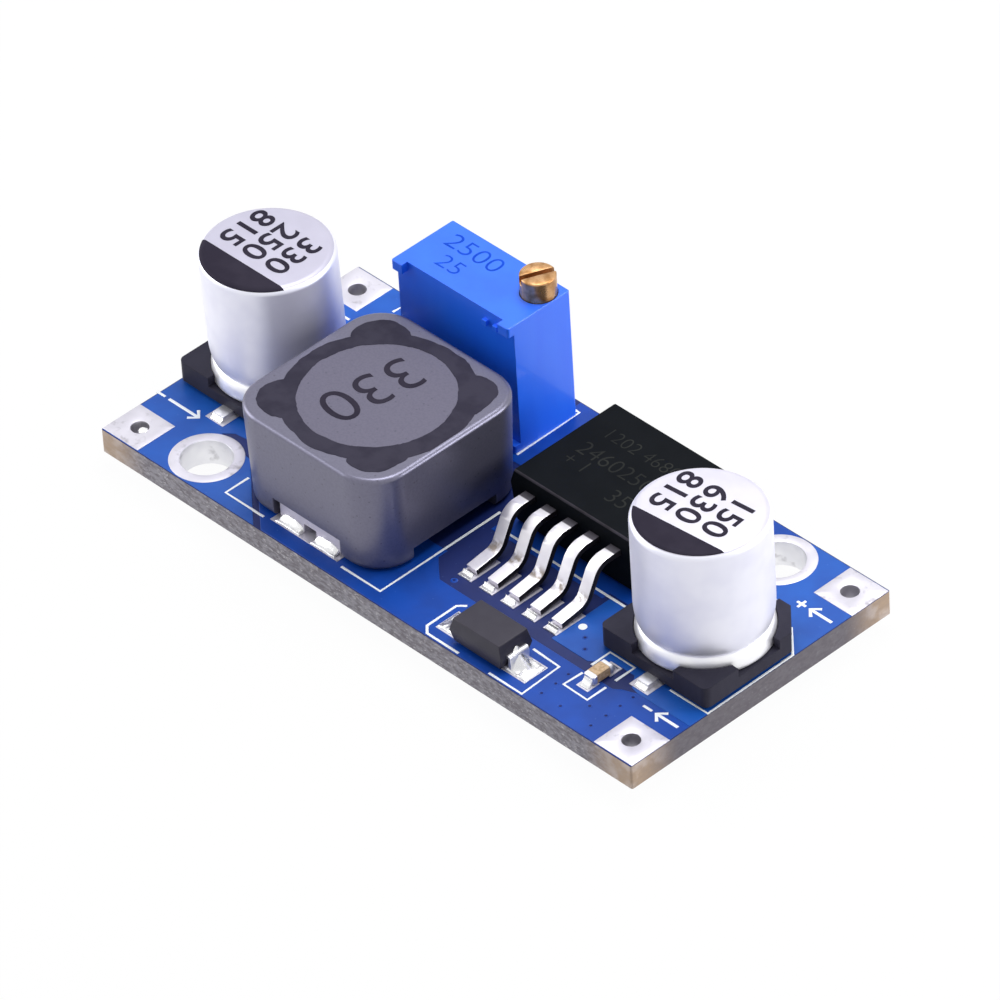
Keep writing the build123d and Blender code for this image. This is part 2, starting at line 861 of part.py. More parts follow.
def regulator_heat_tab():
    """Copper plate under the body that stands out behind it."""
    half = heat_tab_width / 2
    tab = box_between(
        (regulator_x - half, regulator_x + half),
        (regulator_front + heat_tab_start, heat_tab_back),
        (above, above + heat_tab_sheet),
    )
    back_edges = tab.edges().filter_by(Axis.Z).group_by(Axis.Y)[-1]
    return chamfer(back_edges, heat_tab_corner)


def regulator_lands():
    """Five toe lands and the wide land under the heat tab."""
    half = lead_land_width / 2
    front = regulator_front - lead_reach - lead_land_overhang
    lands = [
        box_between(
            (lead_x(i) - half, lead_x(i) + half), (front, front + lead_land_length), (board_top, above)
        )
        for i in range(lead_count)
    ]
    wide = heat_tab_width / 2 + heat_land_margin
    lands.append(
        box_between(
            (regulator_x - wide, regulator_x + wide),
            (regulator_front + heat_tab_start - heat_land_margin, heat_tab_back + heat_land_margin),
            (board_top, above),
        )
    )
    return Compound(children=lands)


def regulator_solder():
    """Solder at the toe of every lead."""
    wedge = solder_fillet(lead_width, lead_land_overhang, toe_solder_rise)
    toe = regulator_front - lead_reach
    return Compound(children=[facing(wedge, lead_x(i), toe, -90) for i in range(lead_count)])


def diode_body():
    """Moulded rectangular diode with pockets for its folded leads."""
    body = drafted_body(
        diode_length,
        diode_width,
        above + diode_foot_gap,
        board_top + diode_parting,
        board_top + diode_height,
        diode_draft,
    )
    body = Pos(diode_x, diode_y, 0) * body
    for side in (-1, 1):
        body -= diode_lead(side)
    return body


def diode_lead(side):
    """Flat lead that leaves the end at mid height and folds under the body."""
    outer = diode_length / 2 + diode_lead_sheet
    high = board_top + diode_parting + diode_lead_sheet / 2
    half = diode_lead_width / 2
    root = diode_length / 2 - diode_lead_root
    lead = box_between((root, outer), (-half, half), (high - diode_lead_sheet, high))
    lead += box_between((outer - diode_lead_sheet, outer), (-half, half), (above, high))
    lead += box_between((outer - diode_lead_fold, outer), (-half, half), (above, above + diode_lead_sheet))
    outer_bends = lead.edges().filter_by(Axis.Y).group_by(Axis.X)[-1]
    lead = fillet(outer_bends, diode_lead_bend)
    return Pos(diode_x, diode_y, 0) * (lead if side > 0 else Rot(0, 0, 180) * lead)


def diode_lands():
    """The two lands of the diode, longer than its leads."""
    half = diode_land_width / 2
    far = diode_length / 2 + diode_land_overhang
    lands = []
    for side in (-1, 1):
        low, high = sorted((diode_x + side * (far - diode_land_length), diode_x + side * far))
        lands.append(box_between((low, high), (diode_y - half, diode_y + half), (board_top, above)))
    return Compound(children=lands)


def diode_solder():
    """Solder that climbs the outside of both diode leads."""
    wedge = solder_fillet(diode_lead_width, diode_solder_run, diode_solder_rise)
    reach = diode_length / 2 + diode_lead_sheet
    return Compound(
        children=[facing(wedge, diode_x + side * reach, diode_y, 90 - 90 * side) for side in (-1, 1)]
    )


def chip_body(height):
    """Bare block of a chip part between its metal ends."""
    inner = chip_length / 2 - chip_cap
    half = chip_width / 2 - chip_wrap
    return box_between((-inner, inner), (-half, half), (above + chip_wrap, above + height - chip_wrap))


def chip_ends(height):
    """Two plated ends with broken edges."""
    whole = box_between(
        (-chip_length / 2, chip_length / 2), (-chip_width / 2, chip_width / 2), (above, above + height)
    )
    whole = chamfer(whole.edges(), chip_edge)
    inner = chip_length / 2 - chip_cap
    middle = box_between((-inner, inner), (-chip_width, chip_width), (above, above + height))
    return Compound(children=list((whole - middle).solids()))


def chip_lands():
    """Two lands under a chip part."""
    half = chip_land_width / 2
    along = (chip_land_reach - chip_land_length, chip_land_reach)
    land = box_between(along, (-half, half), (board_top, above))
    return Compound(children=[land, Rot(0, 0, 180) * land])


def chip_fillets(height):
    """Solder against both ends of a chip part."""
    wedge = solder_fillet(chip_width - 2 * chip_edge, chip_solder_run, height * chip_solder_share)
    return [facing(wedge, side * chip_length / 2, 0, 90 - 90 * side) for side in (-1, 1)]


def chip_solder():
    """Solder of the two chip parts."""
    fillets = [at_chip_capacitor(wedge) for wedge in chip_fillets(capacitor_chip_height)]
    fillets += [at_chip_resistor(wedge) for wedge in chip_fillets(resistor_chip_height)]
    return Compound(children=fillets)


def at_chip_capacitor(part):
    """Place a chip modelled along X with its length across the board."""
    return Pos(capacitor_chip_x, capacitor_chip_y, 0) * Rot(0, 0, 90) * part


def at_chip_resistor(part):
    """Place a chip modelled along X beside the trimmer."""
    return Pos(resistor_chip_x, resistor_chip_y, 0) * part


def trimmer_nodes():
    """Every piece of the trimmer by name."""
    nodes = {
        "trimmer_housing": trimmer_housing(),
        "trimmer_base": trimmer_base(),
        "trimmer_screw": trimmer_screw(),
        "trimmer_seal_ring": trimmer_seal(),
        "trimmer_rotor": trimmer_rotor(),
        "trimmer_wiper": trimmer_wiper(),
        "trimmer_element": trimmer_element(),
        "trimmer_pin_lands": pin_lands(),
        "trimmer_pin_solder": pin_solder(),
    }
    for index in range(3):
        nodes[f"trimmer_pin_{index + 1}"] = trimmer_pin(index)
    return nodes


def capacitor_nodes(name, x):
    """Every piece of one electrolytic capacitor, its negative tab towards the near edge."""
    place = Pos(x, 0, 0)
    return {
        f"{name}_can": place * capacitor_can(),
        f"{name}_base": place * capacitor_base(),
        f"{name}_negative_tab": place * capacitor_tab(-1),
        f"{name}_positive_tab": place * capacitor_tab(1),
        f"{name}_lands": place * capacitor_lands(),
    }


def inductor_nodes():
    """Every piece of the shielded inductor."""
    return {
        "inductor_shield": inductor_shield(),
        "inductor_core": inductor_core(),
        "inductor_winding": inductor_winding(),
        "inductor_resin": inductor_resin(),
        "inductor_near_clip": inductor_clip(-1),
        "inductor_far_clip": inductor_clip(1),
        "inductor_lands": inductor_lands(),
        "inductor_solder": inductor_solder(),
    }


def regulator_nodes():
    """Every piece of the regulator."""
    nodes = {
        "regulator_body": regulator_body(),
        "regulator_heat_tab": regulator_heat_tab(),
        "regulator_lands": regulator_lands(),
        "regulator_solder": regulator_solder(),
    }
    for index in range(lead_count):
        nodes[f"regulator_lead_{index + 1}"] = regulator_lead(index)
    return nodes


def small_part_nodes():
    """The diode, the chip capacitor and the chip resistor."""
    return {
        "diode_body": diode_body(),
        "diode_left_lead": diode_lead(-1),
        "diode_right_lead": diode_lead(1),
        "diode_lands": diode_lands(),
        "diode_solder": diode_solder(),
        "chip_capacitor_body": at_chip_capacitor(chip_body(capacitor_chip_height)),
        "chip_capacitor_ends": at_chip_capacitor(chip_ends(capacitor_chip_height)),
        "chip_capacitor_lands": at_chip_capacitor(chip_lands()),
        "chip_resistor_body": at_chip_resistor(chip_body(resistor_chip_height)),
        "chip_resistor_ends": at_chip_resistor(chip_ends(resistor_chip_height)),
        "chip_resistor_lands": at_chip_resistor(chip_lands()),
        "chip_solder": chip_solder(),
    }


def board_nodes():
    """The board with its plated terminals and mounting rings."""
    nodes = {"circuit_board": circuit_board()}
    for name, (x, y) in terminal_bore_centres().items():
        nodes[name] = terminal(x, y)
    for name, (x, y) in mounting_centres().items():
        nodes[name] = ring(x, y, mounting_bore, mounting_ring)
    return nodes


nodes = board_nodes()
nodes.update(capacitor_nodes("input_capacitor", capacitor_offset))
nodes.update(capacitor_nodes("output_capacitor", -capacitor_offset))
nodes["capacitor_solder"] = capacitor_solder()
nodes.update(inductor_nodes())
nodes.update(trimmer_nodes())
nodes.update(regulator_nodes())
nodes.update(small_part_nodes())

os.makedirs("parts", exist_ok=True)
for name, part in nodes.items():
    export_step(part, f"parts/{name}.step")
print(len(nodes), "nodes")
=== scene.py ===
import json
import logging
import math
from collections.abc import Callable, Sequence
from dataclasses import dataclass
from enum import Enum

import bmesh
import bpy
from mathutils import Matrix, Vector, noise


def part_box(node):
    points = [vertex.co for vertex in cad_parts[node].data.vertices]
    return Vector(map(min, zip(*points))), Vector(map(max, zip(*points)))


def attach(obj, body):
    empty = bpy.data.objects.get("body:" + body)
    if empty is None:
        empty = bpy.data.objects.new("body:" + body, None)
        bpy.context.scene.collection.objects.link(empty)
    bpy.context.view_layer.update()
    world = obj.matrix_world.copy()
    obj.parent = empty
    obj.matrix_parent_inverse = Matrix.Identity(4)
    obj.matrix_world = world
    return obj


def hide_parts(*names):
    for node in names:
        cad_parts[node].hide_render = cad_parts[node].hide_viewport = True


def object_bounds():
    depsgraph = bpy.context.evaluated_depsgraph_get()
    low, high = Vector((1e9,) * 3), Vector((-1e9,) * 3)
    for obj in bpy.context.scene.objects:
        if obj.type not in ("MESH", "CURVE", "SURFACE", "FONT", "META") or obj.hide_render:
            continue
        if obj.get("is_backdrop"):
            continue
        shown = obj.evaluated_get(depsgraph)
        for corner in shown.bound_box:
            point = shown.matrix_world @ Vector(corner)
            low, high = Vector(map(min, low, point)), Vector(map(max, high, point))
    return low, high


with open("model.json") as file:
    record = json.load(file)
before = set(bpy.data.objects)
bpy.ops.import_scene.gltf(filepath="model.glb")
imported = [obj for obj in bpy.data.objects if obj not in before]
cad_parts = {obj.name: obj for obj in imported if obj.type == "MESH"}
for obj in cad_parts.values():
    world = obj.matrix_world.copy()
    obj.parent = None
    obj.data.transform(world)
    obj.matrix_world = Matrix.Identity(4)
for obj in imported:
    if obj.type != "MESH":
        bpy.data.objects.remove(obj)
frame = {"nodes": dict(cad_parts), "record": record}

LOG = logging.getLogger("power_module")
MM = 0.001
SEED = 4
Point = tuple[float, float]
Triple = tuple[float, float, float]
EVEN: Triple = (1.0, 1.0, 1.0)
WHITE = (1.0, 1.0, 1.0, 1.0)

# Limits of a noise between which one tone turns into the other.
SOFT: Point = (0.35, 0.65)
WIDE: Point = (0.3, 0.7)

# How near counts as touching, in millimetres, and the height of a steep unit vector.
TOUCH = 0.01
STEEP = 0.5


def seen(tone: Triple) -> tuple[float, float, float, float]:
    """Turns a colour as a screen shows it into the linear values that a shader takes.

    Args:
        tone: red, green and blue from 0 to 1.

    Returns:
        The linear colour with full opacity.
    """
    red, green, blue = (c / 12.92 if c <= 0.04045 else ((c + 0.055) / 1.055) ** 2.4 for c in tone)
    return (red, green, blue, 1.0)


@dataclass(frozen=True)
class Span:
    """Limits of a CAD node, in millimetres."""

    low: Vector
    high: Vector

    @classmethod
    def of(cls, node: str) -> "Span":
        """Reads the limits of one node."""
        low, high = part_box(node)
        return cls(low / MM, high / MM)

    @property
    def centre(self) -> Vector:
        """Middle of the limits."""
        return (self.low + self.high) / 2

    @property
    def size(self) -> Vector:
        """Length along each axis."""
        return self.high - self.low


class Signal:
    """One number that runs through nodes, with its arithmetic written as Python."""

    def __init__(self, nodes: "Nodes", socket: bpy.types.NodeSocket) -> None:
        """Wraps an output socket."""
        self.nodes = nodes
        self.socket = socket

    def _join(self, operation: str, first: "Signal | float", second: "Signal | float") -> "Signal":
        """Adds one Math node.

        Args:
            operation: the node's operation.
            first: left side.
            second: right side.

        Returns:
            The node's result.
        """
        made = self.nodes.node("ShaderNodeMath", {"operation": operation}, {0: first, 1: second})
        return Signal(self.nodes, made.outputs[0])

    def __add__(self, other: "Signal | float") -> "Signal":
        """Sum."""
        return self._join("ADD", self, other)

    __radd__ = __add__

    def __sub__(self, other: "Signal | float") -> "Signal":
        """Difference."""
        return self._join("SUBTRACT", self, other)

    def __rsub__(self, other: float) -> "Signal":
        """Difference from a number."""
        return self._join("SUBTRACT", other, self)

    def __mul__(self, other: "Signal | float") -> "Signal":
        """Product."""
        return self._join("MULTIPLY", self, other)

    __rmul__ = __mul__

    def size(self) -> "Signal":
        """Distance from zero."""
        return self._join("ABSOLUTE", self, 0.0)

    def either(self, other: "Signal") -> "Signal":
        """The larger of two."""
        return self._join("MAXIMUM", self, other)


class Nodes:
    """A node tree that is being filled."""

    def __init__(self, tree: bpy.types.NodeTree) -> None:
        """Empties the tree."""
        self.tree = tree
        tree.nodes.clear()

    def node(
        self, kind: str, settings: dict | None = None, inputs: dict | None = None
    ) -> bpy.types.Node:
        """Adds a node.

        Args:
            kind: the node's type.
            settings: its properties, set first.
            inputs: values, sockets or signals by input name or number.

        Returns:
            The node.
        """
        made = self.tree.nodes.new(kind)
        for name, value in (settings or {}).items():
            setattr(made, name, value)
        for name, value in (inputs or {}).items():
            self.feed(made.inputs[name], value)
        return made

    def feed(self, socket: bpy.types.NodeSocket, value: object) -> None:
        """Links or sets an input.

        Args:
            socket: the input.
            value: a signal or socket to link to it, or a plain value to set on it.
        """
        if isinstance(value, Signal):
            value = value.socket
        if isinstance(value, bpy.types.NodeSocket):
            self.tree.links.new(value, socket)
        else:
            socket.default_value = value

    def watched(self, camera: float, mirrors: float) -> Signal:
        """Share of white that a backdrop shows to the rays that look at it.

        Args:
            camera: share for the camera.
            mirrors: share for reflections and for what glass lets through.

        Returns:
            The share, which is 0 for the light that the backdrop sends out.
        """
        rays = self.node("ShaderNodeLightPath").outputs
        share = Signal(self, rays["Is Camera Ray"]) * camera
        for kind in ("Is Glossy Ray", "Is Transmission Ray"):
            share = share.either(Signal(self, rays[kind]) * mirrors)
        return share


class Paint(Nodes):
    """The nodes of one material, round one Principled shader."""

    def __init__(self, name: str) -> None:
        """Starts an empty material.

        Args:
            name: the material's name.
        """
        self.material = bpy.data.materials.new(name)
        self.material.use_nodes = True
        super().__init__(self.material.node_tree)
        self.shader = self.node("ShaderNodeBsdfPrincipled")
        surface = {"Surface": self.shader.outputs[0]}
        self.output = self.node("ShaderNodeOutputMaterial", inputs=surface)
        self.place = self.node("ShaderNodeTexCoord").outputs["Object"]

    def fix(self, **values: object) -> None:
        """Sets or links the shader's own inputs, named with underscores for spaces."""
        for name, value in values.items():
            self.feed(self.shader.inputs[name.replace("_", " ")], value)

    def grid(self, stretch: Triple = EVEN) -> bpy.types.NodeSocket:
        """Place on the piece in millimetres, stretched along each axis."""
        inputs = {"Vector": self.place, "Scale": tuple(s / MM for s in stretch)}
        return self.node("ShaderNodeMapping", inputs=inputs).outputs[0]

    def noise(self, per_mm: float, detail: float = 2.0, stretch: Triple = EVEN) -> Signal:
        """Cloudy noise.

        Args:
            per_mm: cells in a millimetre.
            detail: octaves of finer noise.
            stretch: factor of the cells along each axis.

        Returns:
            A signal from 0 to 1.
        """
        inputs = {"Vector": self.grid(stretch), "Scale": per_mm, "Detail": detail}
        return Signal(self, self.node("ShaderNodeTexNoise", inputs=inputs).outputs[0])

    def cells(self, per_mm: float) -> Signal:
        """Distance to the middle of scattered cells."""
        made = self.node("ShaderNodeTexVoronoi", inputs={"Vector": self.grid(), "Scale": per_mm})
        return Signal(self, made.outputs["Distance"])

    def axis(self, name: str) -> Signal:
        """Place along one axis in millimetres."""
        apart = self.node("ShaderNodeSeparateXYZ", inputs={"Vector": self.grid()})
        return Signal(self, apart.outputs[name])

    def between(self, value: Signal, low: float, high: float) -> Signal:
        """Steps smoothly between two limits.

        Args:
            value: the signal that is read.
            low: where the result is still 0.
            high: where it has become 1.

        Returns:
            A signal from 0 to 1.
        """
        limits = {"Value": value, "From Min": low, "From Max": high}
        made = self.node("ShaderNodeMapRange", {"interpolation_type": "SMOOTHSTEP"}, limits)
        return Signal(self, made.outputs[0])

    def blend(self, mask: Signal, below: object, above: object) -> bpy.types.NodeSocket:
        """Mixes two colours.

        Args:
            mask: share of the second colour.
            below: first colour as a screen shows it, or a socket.
            above: second colour as a screen shows it, or a socket.

        Returns:
            The mixed colour's socket.
        """
        first, second = (seen(end) if isinstance(end, tuple) else end for end in (below, above))
        made = self.node("ShaderNodeMix", {"data_type": "RGBA"}, {0: mask, 6: first, 7: second})
        return made.outputs[2]

    def relief(self, height: Signal, depth: float, edge: float) -> None:
        """Raises the surface by a signal.

        Args:
            height: the relief from 0 to 1.
            depth: millimetres that the whole signal stands for.
            edge: millimetres over which hard edges are softened.
        """
        softened = self.node("ShaderNodeBevel", {"samples": 4}, {"Radius": edge * MM}).outputs[0]
        inputs = {"Height": height, "Distance": depth * MM, "Strength": 1.0, "Normal": softened}
        self.fix(Normal=self.node("ShaderNodeBump", inputs=inputs).outputs[0])


@dataclass(frozen=True)
class Finish:
    """A surface: its two tones as a screen shows them, its shine and its texture.

    Lengths are in millimetres, and noises in cells a millimetre.
    """

    name: str
    tone: Triple
    shade: Triple
    roughness: float
    spread: float = 0.1
    metallic: float = 0.0
    cloud: float = 0.5
    grain: float = 9.0
    depth: float = 0.003
    edge: float = 0.04
    specular: float = 0.5
    coat: float = 0.0

    def material(self) -> bpy.types.Material:
        """Makes the material once.

        Returns:
            The material, the same one at every call.
        """
        made = bpy.data.materials.get(self.name)
        if made is None:
            paint = Paint(self.name)
            paint.fix(
                Metallic=self.metallic, Specular_IOR_Level=self.specular, Coat_Weight=self.coat
            )
            self.dress(paint)
            made = paint.material
        return made

    def tinted(self, paint: Paint, mask: Signal, limits: Point = SOFT) -> bpy.types.NodeSocket:
        """The tone, turning into the shade where a mask runs from one limit to the other."""
        return paint.blend(paint.between(mask, *limits), self.tone, self.shade)

    def dress(self, paint: Paint) -> None:
        """Clouds the tone and the shine, and raises a fine grain.

        Args:
            paint: the nodes of its material.
        """
        cloud = paint.noise(self.cloud, 3.0)
        grain = paint.noise(self.grain, 3.0)
        paint.fix(
            Base_Color=self.tinted(paint, cloud),
            Roughness=self.roughness + self.spread * (cloud + grain - 1.0),
        )
        paint.relief(grain, self.depth, self.edge)


@dataclass(frozen=True)
class SolderMask(Finish):
    """Lacquer over laminate or copper: a soft orange peel with a few pale specks."""

    peel: float = 1.4
    specks: float = 1.6
    speck_size: Point = (0.05, 0.09)
    speck_share: float = 0.12
    speck_tone: Triple = (0.45, 0.6, 0.85)

    def dress(self, paint: Paint) -> None:
        """Adds wide ripples and sparse specks to the lacquer.

        Args:
            paint: the nodes of its material.
        """
        cloud = paint.noise(self.cloud)
        peel = paint.noise(self.peel)
        speck = 1.0 - paint.between(paint.cells(self.specks), *self.speck_size)
        tinted = self.tinted(paint, cloud, WIDE)
        paint.fix(
            Base_Color=paint.blend(speck * self.speck_share, tinted, self.speck_tone),
            Roughness=self.roughness + self.spread * (cloud + peel - 1.0),
        )
        paint.relief(peel + 0.3 * paint.noise(self.grain), self.depth, self.edge)


@dataclass(frozen=True)
class CutLaminate(Finish):
    """Sawn edge of glass laminate: fibre streaks, pale glints, warm resin at the corners, painted
    shade at the +X end.
    """

    fibres: float = 2.2
    flecks: float = 4.5
    flat: Triple = (1.0, 1.0, 2.2)
    # Where along X the painted shade of the +X end comes in.
    end: Point = (21.2, 21.45)
    corner_x: Point = (17.5, 20.8)
    corner_y: Point = (6.2, 9.6)
    warm: Triple = (0.7, 0.6, 0.5)
    pale: Triple = (0.8, 0.73, 0.68)
    sawn: Triple = (0.34, 0.32, 0.35)
    glint: Triple = (0.86, 0.85, 0.86)

    def dress(self, paint: Paint) -> None:
        """Draws the fibres along the board, darkens its +X end as painted shade and warms its
        corners.

        Args:
            paint: the nodes of its material.
        """
        streak = paint.noise(self.fibres, 5.0, self.flat)
        fleck = paint.noise(self.flecks, 3.0, self.flat)
        along, across = paint.axis("X").size(), paint.axis("Y").size()
        # Painted shade: towards the +X end the edge turns to a darker grey and shows fewer glints.
        end = paint.between(paint.axis("X"), *self.end)
        corner = paint.between(along, *self.corner_x) * paint.between(across, *self.corner_y)
        body = paint.blend(end * 0.8, self.tinted(paint, streak), self.sawn)
        calm = (0.7 - 0.7 * corner) * (1.0 - 0.85 * end)
        sparkling = paint.blend(paint.between(fleck, 0.56, 0.78) * calm, body, self.glint)
        patch = paint.between(paint.noise(0.9, 3.0), 0.4, 0.65)
        mottled = paint.blend(patch, self.warm, self.pale)
        paint.fix(
            Base_Color=paint.blend(corner * (0.55 + 0.45 * streak), sparkling, mottled),
            Roughness=self.roughness + self.spread * (fleck - 0.5),
        )
        paint.relief(fleck + streak, self.depth, self.edge)


@dataclass(frozen=True)
class DrawnCan(Finish):
    """Drawn aluminium: faint upright drawing lines under a satin lacquer."""

    lines: float = 5.0
    upright: Triple = (1.0, 1.0, 0.06)

    def dress(self, paint: Paint) -> None:
        """Runs the drawing lines up the wall and clouds the shine.

        Args:
            paint: the nodes of its material.
        """
        lines = paint.noise(self.lines, stretch=self.upright)
        cloud = paint.noise(self.cloud)
        paint.fix(
            Base_Color=self.tinted(paint, cloud, WIDE),
            Roughness=self.roughness + self.spread * (lines + cloud - 1.0),
        )
        paint.relief(lines + 0.5 * paint.noise(self.grain), self.depth, self.edge)


@dataclass(frozen=True)
class DippedTin(Finish):
    """Tinned metal: bright, with drawn-out ripples and grey stains."""

    patches: float = 1.3
    patch_limits: Point = (0.56, 0.75)
    stain: Triple = (0.42, 0.4, 0.42)
    stained: float = 0.35

    def dress(self, paint: Paint) -> None:
        """Stains the tin in soft patches and ripples it.

        Args:
            paint: the nodes of its material.
        """
        patch = paint.noise(self.patches, 4.0)
        ripple = paint.noise(self.grain)
        mask = paint.between(patch, *self.patch_limits) * self.stained
        clouded = self.tinted(paint, paint.noise(self.cloud))
        paint.fix(
            Base_Color=paint.blend(mask, clouded, self.stain),
            Roughness=self.roughness + 0.35 * mask + self.spread * (ripple - 0.5),
        )
        paint.relief(ripple + patch, self.depth, self.edge)


@dataclass(frozen=True)
class FormedLead(Finish):
    """Tinned lead with painted shade on its root at the package and a burnt mark in its lower
    bend.
    """

    # Place along Y from which the painted shade on the root runs towards the package.
    root: float = 0.0
    bend: float = 0.0
    reach: Point = (0.12, 0.42)
    patches: float = 2.2
    burnt: Triple = (0.45, 0.38, 0.28)
    dull: Triple = (0.3, 0.29, 0.32)

    def dress(self, paint: Paint) -> None:
        """Paints shade on the root and marks the bend by their places along the lead.

        Args:
            paint: the nodes of its material.
        """
        along = paint.axis("Y")
        patch = paint.noise(self.patches, 4.0)
        near_bend = 1.0 - paint.between((along - self.bend).size(), *self.reach)
        mark = near_bend * paint.between(patch, 0.42, 0.62)
        # Painted shade: by the package the lead turns to a dull dark grey, for the package's
        # shadow on its root.
        root_shaded = paint.between(along, self.root - 0.07, self.root + 0.03)
        bright = self.tinted(paint, paint.noise(self.cloud))
        scorched = paint.blend(mark * 0.75, bright, self.burnt)
        paint.fix(
            Base_Color=paint.blend(root_shaded, scorched, self.dull),
            Roughness=self.roughness + 0.25 * mark + 0.2 * root_shaded + self.spread * (patch - 0.5),
        )
        paint.relief(patch, self.depth, self.edge)


@dataclass(frozen=True)
class TurnedBrass(Finish):
    """Turned brass: fine rings left by the tool and a warm tarnish."""

    middle: Point = (0.0, 0.0)
    rings: float = 3.2
    wander: float = 0.4
    patches: float = 1.8

    def dress(self, paint: Paint) -> None:
        """Cuts tool rings round the axis and tarnishes in patches.

        Args:
            paint: the nodes of its material.
        """
        moved = {"Vector": paint.grid(), "Location": (-self.middle[0], -self.middle[1], 0.0)}
        centred = paint.node("ShaderNodeMapping", inputs=moved).outputs[0]
        rings = paint.node(
            "ShaderNodeTexWave",
            {"wave_type": "RINGS", "rings_direction": "Z"},
            {"Vector": centred, "Scale": self.rings, "Distortion": self.wander, "Detail": 2.0},
        )
        ring = Signal(paint, rings.outputs[1])
        patch = paint.noise(self.patches, 4.0)
        paint.fix(
            Base_Color=self.tinted(paint, patch, (0.4, 0.66)),
            Roughness=self.roughness + self.spread * (patch + 0.5 * ring - 0.7),
        )
        paint.relief(0.6 * (ring + patch), self.depth, self.edge)


@dataclass(frozen=True)
class StreakedMould(Finish):
    """Moulded plastic with a soft sheen, a fine spark texture and faint flow lines."""

    streaks: float = 0.55
    flow: Triple = (1.0, 1.0, 0.25)

    def dress(self, paint: Paint) -> None:
        """Draws the flow lines and the fine texture.

        Args:
            paint: the nodes of its material.
        """
        flow = paint.noise(self.streaks, 3.0, self.flow)
        spark = paint.noise(self.grain)
        paint.fix(
            Base_Color=self.tinted(paint, flow, WIDE),
            Roughness=self.roughness + self.spread * (flow + spark - 1.0),
        )
        paint.relief(spark, self.depth, self.edge)


@dataclass(frozen=True)
class PressedFerrite(Finish):
    """Pressed and coated ferrite: speckled, with small pits."""

    speckles: float = 7.0
    pits: float = 1.9
    pit_size: Point = (0.06, 0.16)
    pit_share: float = 0.35
    pit: Triple = (0.2, 0.19, 0.23)

    def dress(self, paint: Paint) -> None:
        """Speckles the coat and sinks the pits.

        Args:
            paint: the nodes of its material.
        """
        speckle = paint.noise(self.speckles, 4.0)
        pits = 1.0 - paint.between(paint.cells(self.pits), *self.pit_size)
        body = self.tinted(paint, speckle, (0.42, 0.62))
        paint.fix(
            Base_Color=paint.blend(pits * self.pit_share, body, self.pit),
            Roughness=self.roughness + self.spread * (speckle - 0.5),
        )
        paint.relief(speckle - 0.6 * pits, self.depth, self.edge)


